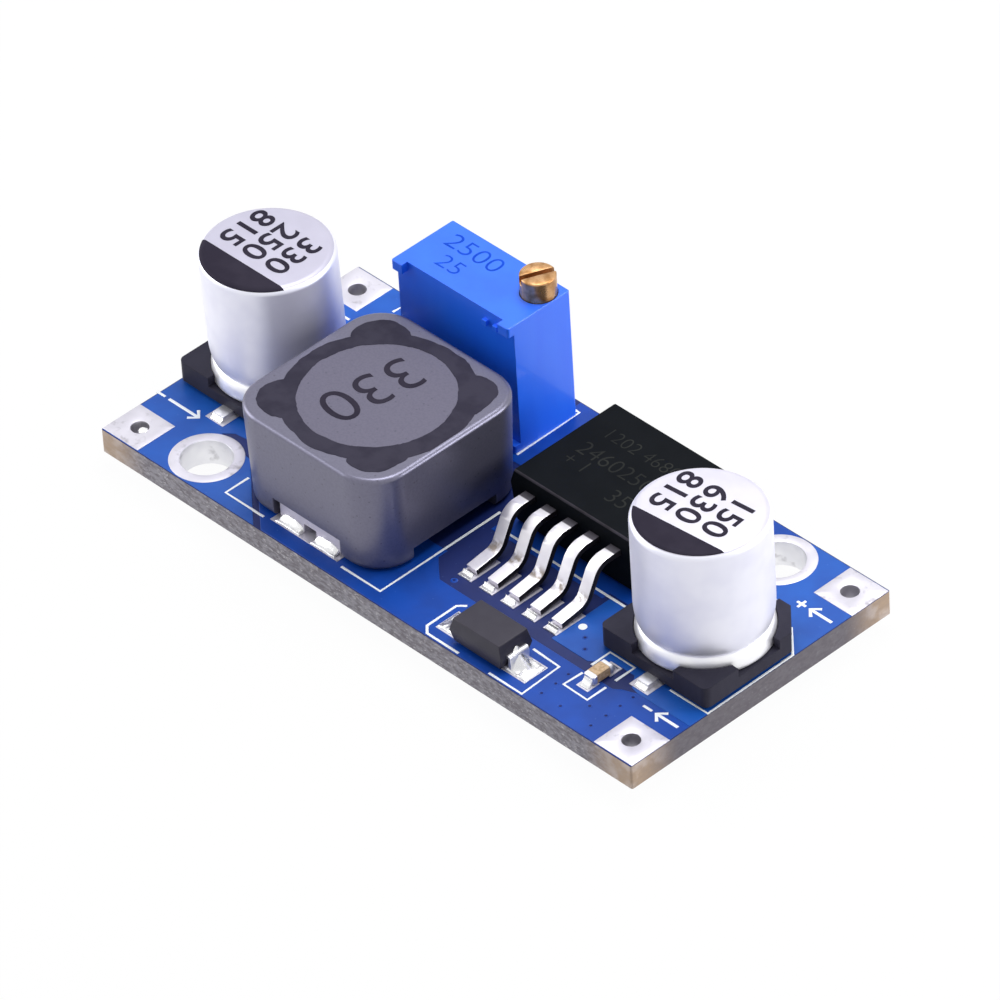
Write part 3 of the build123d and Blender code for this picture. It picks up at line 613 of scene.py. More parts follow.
class Finishes:
    """Every finish of the module."""

    mask_light = SolderMask(
        "mask_over_outer_copper", (0.09, 0.35, 0.72), (0.08, 0.31, 0.67), 0.4,
        depth=0.004, specular=0.35,
    )
    mask_deep = SolderMask(
        "mask_over_ground_copper", (0.04, 0.28, 0.67), (0.03, 0.25, 0.61), 0.38,
        depth=0.004, specular=0.3,
    )
    mask_bare = SolderMask(
        "mask_over_laminate", (0.09, 0.16, 0.41), (0.08, 0.14, 0.37), 0.43,
        depth=0.004, specular=0.3,
    )
    via = SolderMask(
        "filled_via", (0.04, 0.1, 0.36), (0.03, 0.08, 0.3), 0.5, specular=0.2
    )
    laminate_edge = CutLaminate(
        "sawn_laminate", (0.55, 0.54, 0.57), (0.42, 0.4, 0.43), 0.62, depth=0.01
    )
    legend = Finish("white_legend_ink", (0.99, 1.0, 1.0), (0.95, 0.97, 1.0), 0.55, grain=14.0)
    land = DippedTin(
        "tinned_land", (0.85, 0.84, 0.88), (0.8, 0.79, 0.83), 0.42,
        metallic=0.5, grain=3.0, depth=0.005, edge=0.03, stained=0.5,
    )
    # Painted shade: a darker copy of the tinned land for the walls of the narrow terminal holes,
    # which lie in shade.
    plating = Finish(
        "hole_plating", (0.74, 0.73, 0.76), (0.62, 0.61, 0.64), 0.36, metallic=0.6, grain=4.0
    )
    solder = DippedTin(
        "bright_solder", (0.96, 0.96, 0.96), (0.87, 0.87, 0.88), 0.26,
        metallic=0.9, grain=2.0, depth=0.006, edge=0.05, stained=0.6,
    )
    tin = DippedTin(
        "tinned_sheet", (0.96, 0.96, 0.97), (0.9, 0.9, 0.92), 0.3,
        metallic=0.9, grain=2.0, depth=0.002,
    )
    clip = DippedTin(
        "clip_sheet", (0.84, 0.82, 0.87), (0.8, 0.78, 0.83), 0.42,
        metallic=0.4, grain=3.0, depth=0.002, stained=0.2,
    )
    can = DrawnCan(
        "drawn_aluminium", (0.93, 0.93, 0.975), (0.9, 0.9, 0.955), 0.46,
        metallic=0.72, depth=0.001,
    )
    # Painted highlight: a brighter, shinier copy of the can's aluminium for the bead, which
    # reflects the white floor.
    bead = DrawnCan(
        "rolled_aluminium", (0.99, 0.99, 1.0), (0.96, 0.96, 0.99), 0.4,
        metallic=0.8, depth=0.001,
    )
    crown = Finish(
        "crown_lacquer", (0.84, 0.83, 0.88), (0.81, 0.8, 0.86), 0.42, metallic=0.35, grain=12.0
    )
    # Painted shade: a darker copy of the crown lacquer, for a crown that lies in less light.
    dull_crown = Finish(
        "dull_crown_lacquer", (0.75, 0.74, 0.81), (0.73, 0.72, 0.79), 0.45,
        metallic=0.35, grain=12.0,
    )
    print_dark = Finish(
        "dark_print", (0.205, 0.19, 0.24), (0.18, 0.165, 0.215), 0.5, grain=12.0, specular=0.03
    )
    seat = StreakedMould(
        "moulded_seat", (0.215, 0.21, 0.26), (0.19, 0.185, 0.235), 0.5, specular=0.08, edge=0.08
    )
    ferrite = PressedFerrite(
        "coated_ferrite", (0.45, 0.445, 0.515), (0.435, 0.43, 0.5), 0.36,
        spread=0.06, metallic=0.75, depth=0.0015,
    )
    disc = PressedFerrite(
        "ground_ferrite", (0.4, 0.39, 0.46), (0.385, 0.375, 0.445), 0.5,
        metallic=0.3, depth=0.002, specular=0.3,
    )
    resin = Finish(
        "cast_resin", (0.225, 0.215, 0.27), (0.19, 0.18, 0.235), 0.42,
        cloud=0.8, grain=3.0, depth=0.008, specular=0.06,
    )
    winding = Finish(
        "enamelled_wire", (0.68, 0.36, 0.14), (0.55, 0.27, 0.1), 0.3, grain=2.0, depth=0.02
    )
    blue = StreakedMould(
        "blue_housing", (0.11, 0.44, 1.0), (0.09, 0.41, 0.99), 0.38,
        depth=0.001, edge=0.05, specular=0.6, coat=0.25,
    )
    blue_mark = Finish(
        "engraved_shadow", (0.08, 0.31, 0.82), (0.07, 0.28, 0.77), 0.5, specular=0.1
    )
    rubber = Finish("soft_rubber", (0.12, 0.12, 0.12), (0.09, 0.09, 0.09), 0.7)
    rotor = StreakedMould("natural_moulding", (0.88, 0.87, 0.84), (0.84, 0.83, 0.8), 0.5)
    wiper = DippedTin(
        "sprung_alloy", (0.86, 0.82, 0.7), (0.78, 0.74, 0.62), 0.3, metallic=0.9
    )
    ceramic = PressedFerrite(
        "printed_ceramic", (0.9, 0.9, 0.88), (0.84, 0.84, 0.82), 0.6, pit=(0.5, 0.5, 0.5)
    )
    epoxy = Finish(
        "moulded_package", (0.075, 0.085, 0.1), (0.065, 0.075, 0.09), 0.55,
        grain=11.0, depth=0.004, specular=0.03,
    )
    epoxy_mark = Finish(
        "laser_mark", (0.2, 0.205, 0.2), (0.17, 0.175, 0.175), 0.6, specular=0.01
    )
    # Painted highlight: a lighter grey band along the package's front top edge.
    epoxy_rim = Finish(
        "worn_package_rim", (0.24, 0.23, 0.26), (0.19, 0.18, 0.2), 0.5, specular=0.05
    )
    # Painted shade: the leads' side faces are near black, for the shade and dark reflections on
    # them.
    lead_side = Finish(
        "sheared_lead_side", (0.17, 0.16, 0.18), (0.11, 0.1, 0.12), 0.45,
        metallic=0.2, grain=6.0, specular=0.2,
    )
    charcoal = Finish(
        "moulded_diode", (0.225, 0.215, 0.26), (0.2, 0.19, 0.235), 0.45,
        grain=10.0, depth=0.004, specular=0.26,
    )
    tan = PressedFerrite(
        "chip_ceramic", (0.83, 0.71, 0.56), (0.74, 0.61, 0.45), 0.45,
        depth=0.004, pit=(0.5, 0.36, 0.2),
    )
    glaze = Finish("chip_glaze", (0.09, 0.09, 0.1), (0.06, 0.06, 0.07), 0.3)


CLIPS = ("inductor_near_clip", "inductor_far_clip")


class NodeFinish(Enum):
    """Finish of every CAD node that stays in view, by the record's material slot."""

    laminate = Finishes.mask_deep
    tinned_copper = Finishes.land
    solder = Finishes.solder
    can_aluminium = Finishes.can
    seat_plastic = Finishes.seat
    ferrite_shield = Finishes.ferrite
    ferrite_core = Finishes.disc
    winding_enamel = Finishes.winding
    casting_resin = Finishes.resin
    trimmer_blue = Finishes.blue
    seal_rubber = Finishes.rubber
    rotor_plastic = Finishes.rotor
    wiper_alloy = Finishes.wiper
    element_ceramic = Finishes.ceramic
    package_epoxy = Finishes.epoxy
    diode_epoxy = Finishes.charcoal
    lead_tin = Finishes.tin
    chip_tan = Finishes.tan
    chip_black = Finishes.glaze


def upright(line: Vector) -> bool:
    """Tells whether a unit vector stands nearly upright."""
    return abs(line.z) > 0.9


def level(line: Vector) -> bool:
    """Tells whether a unit vector is nearer to level than a steep slope."""
    return abs(line.z) < STEEP


class Form:
    """A mesh being shaped, in millimetres."""

    hole_steps: int = 64
    fold_steps: int = 8

    def __init__(self) -> None:
        """Starts with an empty mesh."""
        self.mesh = bmesh.new()

    @classmethod
    def block(cls, low: Sequence[float], high: Sequence[float]) -> "Form":
        """A box between two corners.

        Args:
            low: its lowest corner.
            high: its highest corner.

        Returns:
            The box.
        """
        form = cls()
        bmesh.ops.create_cube(form.mesh, size=1.0)
        size = [b - a for a, b in zip(low, high)]
        middle = [(a + b) / 2 for a, b in zip(low, high)]
        return form.scale(size).shift(middle)

    @classmethod
    def rod(
        cls, x: float, y: float, radius: float, low: float, high: float, steps: int = 96
    ) -> "Form":
        """An upright cylinder.

        Args:
            x: middle along X.
            y: middle along Y.
            radius: its radius.
            low: height of its foot.
            high: height of its top.
            steps: sides round it.

        Returns:
            The cylinder.
        """
        form = cls()
        bmesh.ops.create_cone(
            form.mesh, cap_ends=True, segments=steps, radius1=radius, radius2=radius,
            depth=high - low,
        )
        return form.shift((x, y, (low + high) / 2))

    @classmethod
    def lathe(cls, profile: Sequence[Point], steps: int = 96, closed: bool = False) -> "Form":
        """Turns a profile round the Z axis.

        Args:
            profile: radius and height of each corner.
            steps: sides round the axis.
            closed: joins the last corner to the first, for a ring.

        Returns:
            The turned shape.
        """
        form = cls()
        corners = [form.mesh.verts.new((radius, 0.0, height)) for radius, height in profile]
        pairs = list(zip(corners, corners[1:]))
        if closed:
            pairs.append((corners[-1], corners[0]))
        edges = [form.mesh.edges.new(pair) for pair in pairs]
        bmesh.ops.spin(
            form.mesh, geom=corners + edges, cent=(0, 0, 0), axis=(0, 0, 1), angle=math.tau,
            steps=steps, use_merge=True,
        )
        return form.merged()

    @classmethod
    def slab(
        cls, outline: Sequence[Point], low: float, high: float, holes: Sequence[Triple] = ()
    ) -> "Form":
        """A flat plate from its outline, with round holes.

        Args:
            outline: corners in order.
            low: height of its underside.
            high: height of its top.
            holes: middle and radius of each hole.

        Returns:
            The plate.
        """
        form = cls()
        corners = [form.mesh.verts.new((x, y, low)) for x, y in outline]
        edges = [form.mesh.edges.new(pair) for pair in zip(corners, corners[1:] + corners[:1])]
        for x, y, radius in holes:
            made = bmesh.ops.create_circle(
                form.mesh, cap_ends=False, segments=cls.hole_steps, radius=radius,
                matrix=Matrix.Translation((x, y, low)),
            )
            edges += dict.fromkeys(edge for vert in made["verts"] for edge in vert.link_edges)
        filled = bmesh.ops.triangle_fill(form.mesh, use_beauty=True, edges=edges)
        faces = [item for item in filled["geom"] if isinstance(item, bmesh.types.BMFace)]
        raised = bmesh.ops.extrude_face_region(form.mesh, geom=faces)
        lifted = [item for item in raised["geom"] if isinstance(item, bmesh.types.BMVert)]
        bmesh.ops.translate(form.mesh, verts=lifted, vec=(0, 0, high - low))
        return form.merged()

    @classmethod
    def strip(
        cls, line: Sequence[Point], x: Point, thickness: float, bends: Sequence[float]
    ) -> "Form":
        """A flat strip folded along a line of corners.

        Args:
            line: Y and Z of the corners of the strip's upper side.
            x: its two sides.
            thickness: how thick the sheet is.
            bends: how far each inner corner is rounded.

        Returns:
            The folded strip.
        """
        form = cls()
        corners = [form.mesh.verts.new((x[0], y, z)) for y, z in line]
        for pair in zip(corners, corners[1:]):
            form.mesh.edges.new(pair)
        for corner, bend in zip(corners[1:-1], bends, strict=True):
            bmesh.ops.bevel(
                form.mesh, geom=[corner], offset=bend, offset_type="OFFSET",
                segments=cls.fold_steps, profile=0.5, affect="VERTICES", material=-1,
            )
        drawn = bmesh.ops.extrude_edge_only(form.mesh, edges=form.mesh.edges[:])
        moved = [item for item in drawn["geom"] if isinstance(item, bmesh.types.BMVert)]
        bmesh.ops.translate(form.mesh, verts=moved, vec=(x[1] - x[0], 0, 0))
        bmesh.ops.recalc_face_normals(form.mesh, faces=form.mesh.faces)
        if sum(face.normal.z for face in form.mesh.faces) < 0:
            bmesh.ops.reverse_faces(form.mesh, faces=form.mesh.faces)
        bmesh.ops.solidify(form.mesh, geom=form.mesh.faces[:], thickness=thickness)
        return form.merged()

    @classmethod
    def of_node(cls, node: bpy.types.Object) -> "Form":
        """A merged copy of a CAD node's mesh.

        Args:
            node: the node's object, in metres.

        Returns:
            The copy.
        """
        form = cls()
        form.mesh.from_mesh(node.data)
        form.scale((1 / MM,) * 3)
        return form.merged()

    def merged(self) -> "Form":
        """Closes seams and poles and turns every face outwards.

        Returns:
            The form itself.
        """
        bmesh.ops.remove_doubles(self.mesh, verts=self.mesh.verts, dist=1e-4)
        bmesh.ops.recalc_face_normals(self.mesh, faces=self.mesh.faces)
        return self

    def scale(self, factors: Sequence[float]) -> "Form":
        """Stretches the whole shape."""
        bmesh.ops.scale(self.mesh, vec=factors, verts=self.mesh.verts)
        return self

    def shift(self, offset: Sequence[float]) -> "Form":
        """Moves the whole shape."""
        bmesh.ops.translate(self.mesh, vec=offset, verts=self.mesh.verts)
        return self

    def turn(self, degrees: float) -> "Form":
        """Turns the whole shape about the Z axis.

        Args:
            degrees: how far, anticlockwise from above.

        Returns:
            The form itself.
        """
        matrix = Matrix.Rotation(math.radians(degrees), 3, "Z")
        bmesh.ops.rotate(self.mesh, cent=(0, 0, 0), matrix=matrix, verts=self.mesh.verts)
        return self

    def narrow(self, factor: float, centre: Point, where: Callable[[Vector], bool]) -> "Form":
        """Draws corners in, across Z.

        Args:
            factor: how much of their distance is left.
            centre: the middle that they are drawn towards.
            where: test that picks them by their place.

        Returns:
            The form itself.
        """
        for vert in self.mesh.verts:
            if where(vert.co):
                vert.co.x = centre[0] + (vert.co.x - centre[0]) * factor
                vert.co.y = centre[1] + (vert.co.y - centre[1]) * factor
        return self

    def bevel(
        self,
        width: float,
        segments: int = 3,
        where: Callable[[Vector, Vector], bool] | None = None,
        sharp: float = 30.0,
    ) -> "Form":
        """Rounds edges.

        Args:
            width: how far the rounding reaches.
            segments: steps across it.
            where: test of an edge's middle and unit direction; every sharp edge without one.
            sharp: angle in degrees from which an edge counts.

        Returns:
            The form itself.
        """
        picked = []
        for edge in self.mesh.edges:
            if len(edge.link_faces) != 2 or edge.calc_face_angle(0.0) < math.radians(sharp):
                continue
            start, end = (vert.co for vert in edge.verts)
            if where is None or where((start + end) / 2, (end - start).normalized()):
                picked.append(edge)
        bmesh.ops.bevel(
            self.mesh, geom=picked, offset=width, offset_type="OFFSET", segments=segments,
            profile=0.5, affect="EDGES", clamp_overlap=True, material=-1,
        )
        return self

    def halve(self, point: Sequence[float], normal: Sequence[float]) -> "Form":
        """Cuts away one side of a plane and closes the cut.

        Args:
            point: a place on the plane.
            normal: direction of the side that goes.

        Returns:
            The form itself.
        """
        sliced = bmesh.ops.bisect_plane(
            self.mesh, geom=self.everything(), plane_co=point, plane_no=normal, clear_outer=True
        )
        rim = [item for item in sliced["geom_cut"] if isinstance(item, bmesh.types.BMEdge)]
        bmesh.ops.triangle_fill(self.mesh, use_beauty=True, edges=rim)
        return self.merged()

    def seam(self, height: float) -> "Form":
        """Adds a ring of edges at a height.

        Args:
            height: where it runs.

        Returns:
            The form itself.
        """
        bmesh.ops.bisect_plane(
            self.mesh, geom=self.everything(), plane_co=(0, 0, height), plane_no=(0, 0, 1)
        )
        return self

    def everything(self) -> list:
        """All corners, edges and faces."""
        return self.mesh.verts[:] + self.mesh.edges[:] + self.mesh.faces[:]

    def _combine(self, other: "Form", operation: str) -> "Form":
        """Adds or takes away another shape.

        Args:
            other: the second shape.
            operation: the Boolean modifier's operation.

        Returns:
            The form itself.
        """
        holders = []
        for form in (self, other):
            mesh = bpy.data.meshes.new("bench")
            form.mesh.to_mesh(mesh)
            holders.append(bpy.data.objects.new("bench", mesh))
            bpy.context.scene.collection.objects.link(holders[-1])
        modifier = holders[0].modifiers.new("join", "BOOLEAN")
        modifier.operation = operation
        modifier.solver = "EXACT"
        modifier.object = holders[1]
        shaped = holders[0].evaluated_get(bpy.context.evaluated_depsgraph_get())
        made = bpy.data.meshes.new_from_object(shaped)
        self.mesh.clear()
        self.mesh.from_mesh(made)
        meshes = [made] + [holder.data for holder in holders]
        for holder in holders:
            bpy.data.objects.remove(holder)
        for mesh in meshes:
            bpy.data.meshes.remove(mesh)
        return self

    def cut(self, *tools: "Form") -> "Form":
        """Takes other shapes away.

        Args:
            tools: the shapes, in order.

        Returns:
            The form itself.
        """
        for tool in tools:
            self._combine(tool, "DIFFERENCE")
        return self

    def fuse(self, *others: "Form") -> "Form":
        """Melts other shapes into this one.

        Args:
            others: the shapes, in order.

        Returns:
            The form itself.
        """
        for other in others:
            self._combine(other, "UNION")
        return self

    def join(self, *others: "Form") -> "Form":
        """Takes other shapes in as they are.

        Args:
            others: the shapes, in order.

        Returns:
            The form itself.
        """
        for other in others:
            mesh = bpy.data.meshes.new("bench")
            other.mesh.to_mesh(mesh)
            self.mesh.from_mesh(mesh)
            bpy.data.meshes.remove(mesh)
        return self

    def roughen(self, amount: float, per_mm: float) -> "Form":
        """Moves every corner sideways by smooth noise.

        Args:
            amount: the furthest that a corner may move.
            per_mm: waves in a millimetre.

        Returns:
            The form itself.
        """
        for vert in self.mesh.verts:
            shake = noise.noise_vector(vert.co * per_mm)
            vert.co.x += amount * shake.x
            vert.co.y += amount * shake.y
        return self

    def paint(self, index: int, where: Callable[[Vector, Vector], bool]) -> "Form":
        """Gives faces another finish.

        Args:
            index: the finish's place in the piece's list, from 0.
            where: test that picks a face by its middle and its normal.

        Returns:
            The form itself.
        """
        for face in self.mesh.faces:
            if where(face.calc_center_median(), face.normal):
                face.material_index = index
        return self

    def piece(
        self,
        name: str,
        slot: str,
        finishes: Sequence[Finish],
        replaces: Sequence[str] = (),
        body: str = "board",
        smooth: float = 40.0,
    ) -> bpy.types.Object:
        """Makes the finished object, in metres.

        Args:
            name: the piece's name.
            slot: the record's material slot; not used.
            finishes: one finish for each material number of the faces.
            replaces: CAD nodes that it stands for.
            body: the CAD body that it rides on.
            smooth: angle in degrees above which an edge stays sharp.

        Returns:
            The object.
        """
        self.scale((MM,) * 3)
        for face in self.mesh.faces:
            face.smooth = True
        mesh = bpy.data.meshes.new(name)
        self.mesh.to_mesh(mesh)
        self.mesh.free()
        mesh.set_sharp_from_angle(angle=math.radians(smooth))
        made = bpy.data.objects.new(name, mesh)
        bpy.context.scene.collection.objects.link(made)
        for finish in finishes:
            mesh.materials.append(finish.material())
        even = made.modifiers.new("even normals", "WEIGHTED_NORMAL")
        even.keep_sharp = True
        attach(made, body)
        if replaces:
            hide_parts(*replaces)
        LOG.info("%s: %d faces on %s", name, len(mesh.polygons), body)
        return made


class Print:
    """Flat strokes and figures, printed between two heights."""

    capital_share: float = 0.7
    dot_steps: int = 24

    def __init__(self, low: float, high: float) -> None:
        """Starts with nothing printed.

        Args:
            low: height of the surface that is printed on.
            high: height of the ink's top.
        """
        self.low = low
        self.high = high
        self.form = Form()

    def _take(self, curve: bpy.types.Curve, depth: float, matrix: Matrix) -> None:
        """Turns a curve into a flat mesh.

        Args:
            curve: the drawn curve.
            depth: its whole thickness as drawn.
            matrix: its place.
        """
        holder = bpy.data.objects.new("bench", curve)
        made = bpy.data.meshes.new_from_object(holder)
        for vert in made.vertices:
            vert.co.z = (vert.co.z / depth + 0.5) * (self.high - self.low)
        made.transform(matrix)
        self.form.mesh.from_mesh(made)
        bpy.data.objects.remove(holder)
        bpy.data.curves.remove(curve)
        bpy.data.meshes.remove(made)

    def stroke(self, points: Sequence[Point], width: float) -> "Print":
        """Prints a line.

        Args:
            points: the corners that it runs through.
            width: how wide it is.

        Returns:
            The print itself.
        """
        curve = bpy.data.curves.new("stroke", "CURVE")
        curve.dimensions = "3D"
        curve.bevel_depth = width / 2
        curve.bevel_resolution = 2
        curve.use_fill_caps = True
        spline = curve.splines.new("POLY")
        spline.points.add(len(points) - 1)
        for point, (x, y) in zip(spline.points, points):
            point.co = (x, y, 0.0, 1.0)
        self._take(curve, width, Matrix.Translation((0, 0, self.low)))
        return self

    def dot(self, x: float, y: float, radius: float) -> "Print":
        """Prints a round dot."""
        self.form.join(Form.rod(x, y, radius, self.low, self.high, self.dot_steps))
        return self

    def figures(
        self, text: str, height: float, place: Point, degrees: float, weight: float, wide: float
    ) -> "Print":
        """Prints figures.

        Args:
            text: plain figures or signs.
            height: height of a figure, which is a fixed share of the font's size.
            place: middle of the row.
            degrees: turn of the row from +X.
            weight: how much each stroke is thickened.
            wide: stretch along the row.

        Returns:
            The print itself.
        """
        curve = bpy.data.curves.new("figures", "FONT")
        curve.body = text
        curve.size = height / self.capital_share
        curve.align_x = "CENTER"
        curve.align_y = "CENTER"
        curve.offset = weight
        curve.extrude = 0.5
        curve.resolution_u = 6
        stretch = Matrix.Diagonal((wide, 1.0, 1.0, 1.0))
        turned = Matrix.Rotation(math.radians(degrees), 4, "Z")
        self._take(curve, 1.0, Matrix.Translation((*place, self.low)) @ turned @ stretch)
        return self


TERMINALS = tuple(
    f"{side}_{sign}_terminal" for side in ("input", "output") for sign in ("positive", "negative")
)
RINGS = ("near_mounting_ring", "far_mounting_ring")
NEAR = 0.5


@dataclass
class PrintedBoard:
    """Board with its mask, copper areas, lands, holes, vias and legend."""

    corner: float = 0.12
    edge: float = 0.04
    plating: float = 0.05
    land_bevel: float = 0.018
    ring_bevel: float = 0.02
    land_stretch: Point = (0.12, 0.06)
    copper_step: float = 0.03
    copper_sunk: float = 0.05
    copper_bevel: float = 0.025
    copper_gap: float = 0.2
    drop_radius: float = 0.34
    drop_shape: Triple = (1.1, 0.95, 0.9)
    drop_place: Triple = (0.22, 0.08, 2.34)
    drop_lumps: Point = (0.06, 2.0)
    via_profile: tuple[Point, ...] = ((0.0, 0.004), (0.09, 0.004), (0.16, 0.012), (0.22, -0.03))
    via_middle: float = 0.11
    legend_step: float = 0.045
    legend_width: float = 0.2
    output_area: tuple[Point, ...] = (
        (-21.44, -10.04), (-8.8, -10.04), (-11.7, -7.5), (-13.2, -6.2), (-15.2, -5.95),
        (-16.1, -5.7), (-15.5, -5.2), (-13.0, -4.9), (-12.0, 3.6), (-3.4, 3.6), (-3.4, 10.04),
        (-21.44, 10.04),
    )
    diode_area: tuple[Point, ...] = (
        (-8.2, -10.04), (21.44, -10.04), (21.44, -5.55), (17.4, -5.55), (16.5, -5.9),
        (16.1, -6.2), (2.35, -6.2), (0.9, -4.9), (0.9, -4.2), (-12.2, -4.2), (-12.2, -6.6),
    )
    # The ground area stops short of the regulator's leads, so the board under them shows the
    # darker bare mask, which also serves as painted shade for the shadow under the package and its
    # leads.
    ground_area: tuple[Point, ...] = (
        (1.3, -1.2), (10.2, -1.2), (10.2, -0.6), (15.0, -0.6), (15.0, 10.04), (-3.0, 10.04),
        (-3.0, 3.8), (1.3, 3.8),
    )
    input_area: tuple[Point, ...] = (
        (10.55, -5.5), (13.4, -5.5), (14.6, -4.6), (16.2, -4.6), (16.8, -5.4), (17.4, -5.54),
        (21.44, -5.54), (21.44, 10.04), (15.4, 10.04), (15.4, -0.9), (10.55, -0.9),
    )
    via_places: tuple[Point, ...] = (
        (13.45, -7.0), (13.5, -8.02), (13.5, -9.11), (15.03, -9.17), (16.22, -8.07),
        (17.45, -6.93), (17.45, -8.03), (17.43, -9.18), (17.46, -5.95), (11.9, -4.2),
        (12.6, -4.9), (-13.4, -8.9), (3.0, -5.7),
    )
    legend_lines: tuple[tuple[Point, ...], ...] = (
        ((-12.04, -7.38), (-12.05, -9.15), (-8.88, -9.15)),
        ((-2.5, -9.17), (0.66, -9.17), (0.63, 0.16)),
        ((-2.33, 4.33), (-2.41, 9.35), (-2.85, 9.35)),
        ((2.4, -0.85), (11.7, -0.85)),
        ((5.15, -6.75), (4.70, -7.16), (4.72, -9.43), (5.19, -9.88), (7.72, -9.88)),
        ((10.14, -9.9), (12.75, -9.9), (12.62, -6.9), (10.49, -6.82)),
        ((13.83, -5.59), (13.81, -4.12), (15.75, -4.13), (15.74, -5.63)),
        ((13.93, -6.37), (13.85, -7.77), (15.75, -7.81), (15.76, -6.37)),
        ((19.68, 4.14), (21.38, 2.53), (21.42, -4.12), (18.5, -4.12)),
        ((-16.92, 8.49), (-16.87, 9.21), (-16.36, 8.77)),
        ((-19.0, 4.25), (-21.25, 2.5), (-21.25, -2.2)),
    )
    first_lead_dot: Triple = (11.16, -3.65, 0.26)
    far_sign: tuple[Point, Point] = ((-18.75, 6.3), (-18.25, 6.3))
    arrows: tuple[tuple[float, float, float, bool], ...] = (
        (20.2, -6.05, 0.85, False), (20.2, 5.95, 0.85, True), (-19.35, -5.65, -1.25, False),
    )
    barb: Point = (0.5, 0.45)
    sign_half: float = 0.34
    sign_gap: float = 0.65

    def build(self) -> None:
        """Makes every piece of the board."""
        self.board = Span.of("circuit_board")
        self.laminate()
        self.copper("output_copper", self.output_area, Finishes.mask_light)
        self.copper("diode_copper", self.diode_area, Finishes.mask_deep)
        self.copper("ground_copper", self.ground_area, Finishes.mask_deep)
        self.copper("input_copper", self.input_area, Finishes.mask_light)
        for node in TERMINALS:
            self.terminal(node)
        for node in RINGS:
            self.mounting_ring(node)
        self.half_filled_hole()
        self.vias()
        self.legend()

    def bore(self, node: str) -> Triple:
        """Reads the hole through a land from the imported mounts.

        Args:
            node: the land.

        Returns:
            Its middle along X and Y, and the hole's radius.
        """
        middle = Span.of(node).centre
        for mount in frame["record"]["mounts"]:
            x, y = mount["pos_m"][0] / MM, mount["pos_m"][1] / MM
            if math.hypot(x - middle.x, y - middle.y) < NEAR:
                return middle.x, middle.y, mount["dims"]["r_mm"]
        raise ValueError(node)

    def laminate(self) -> None:
        """The board itself, with open holes."""
        low, high = self.board.low, self.board.high
        wide = [(x, y, radius + self.plating) for x, y, radius in self.bores()]
        outline = [(low.x, low.y), (high.x, low.y), (high.x, high.y), (low.x, high.y)]
        form = Form.slab(outline, low.z, high.z, wide)
        form.bevel(
            self.corner, 4,
            lambda middle, along: upright(along) and abs(middle.x) > high.x - TOUCH,
        )
        form.bevel(
            self.edge, 2,
            lambda middle, along: (
                abs(middle.x) > high.x - self.corner - self.edge
                or abs(middle.y) > high.y - TOUCH
            ),
        )
        form.paint(1, lambda middle, normal: level(normal))
        form.paint(2, lambda middle, normal: normal.z < -STEEP)
        finishes = [Finishes.mask_bare, Finishes.laminate_edge, Finishes.mask_light]
        form.piece("board_laminate", "laminate", finishes, ["circuit_board"])

    def bores(self) -> list[Triple]:
        """Every hole of the board."""
        return [self.bore(node) for node in TERMINALS + RINGS]

    def copper(self, name: str, outline: Sequence[Point], finish: Finish) -> None:
        """One copper area under the mask, as a slight step that keeps clear of the holes.

        Args:
            name: the piece's name.
            outline: its corners in order.
            finish: its mask.
        """
        top = self.board.high.z
        form = Form.slab(outline, top - self.copper_sunk, top + self.copper_step)
        form.bevel(
            self.copper_bevel, 2, lambda middle, along: middle.z > top and level(along)
        )
        for x, y, radius in self.beside(outline):
            form.cut(Form.rod(x, y, radius + self.copper_gap, top - 1, top + 1, 48))
        form.piece(name, "laminate", [finish])

    def beside(self, outline: Sequence[Point], margin: float = 2.0) -> list[Triple]:
        """The holes that lie within an area's limits or beside them.

        Args:
            outline: the area's corners.
            margin: how far beside them still counts.

        Returns:
            The holes.
        """
        picked = self.bores()
        for axis, places in enumerate(zip(*outline)):
            low, high = min(places) - margin, max(places) + margin
            picked = [bore for bore in picked if low < bore[axis] < high]
        return picked

    def plated(self, radius: float, outside: float) -> Form:
        """A land on each face and the plated wall between them, round the Z axis.

        Args:
            radius: the hole's radius.
            outside: the land's radius.

        Returns:
            The ring.
        """
        low, high = self.board.low.z, self.board.high.z
        step, wall = self.plating, radius + self.plating
        profile = [
            (radius, low - step), (outside, low - step), (outside, low), (wall, low),
            (wall, high), (outside, high), (outside, high + step), (radius, high + step),
        ]
        return Form.lathe(profile, closed=True)

    def terminal(self, node: str) -> None:
        """Square land with its plated hole.

        Args:
            node: the CAD node that it stands for.
        """
        x, y, radius = self.bore(node)
        half = Span.of(node).size.x / 2
        form = self.plated(radius, half)
        for vert in form.mesh.verts:
            if vert.co.xy.length > half - TOUCH:
                reach = half / max(abs(vert.co.x), abs(vert.co.y))
                for axis, (place, more) in enumerate(zip((x, y), self.land_stretch)):
                    vert.co[axis] *= reach
                    if vert.co[axis] * place > 0.9 * half * abs(place):
                        vert.co[axis] += math.copysign(more, place)
        centre, outer = self.board.centre.z, self.board.size.z / 2 + self.plating / 2
        form.bevel(
            self.land_bevel, 2,
            lambda middle, along: level(along) and abs(middle.z - centre) > outer, 60,
        )
        # The hole's wall takes the darker plating, painted shade for the deep, narrow hole.
        self.drilled(form, node, Finishes.plating)

    def mounting_ring(self, node: str) -> None:
        """Round land with its plated hole.

        Args:
            node: the CAD node that it stands for.
        """
        _, _, radius = self.bore(node)
        form = self.plated(radius, Span.of(node).size.x / 2)
        form.bevel(self.ring_bevel, 2, None, 60)
        self.drilled(form, node, Finishes.tin)

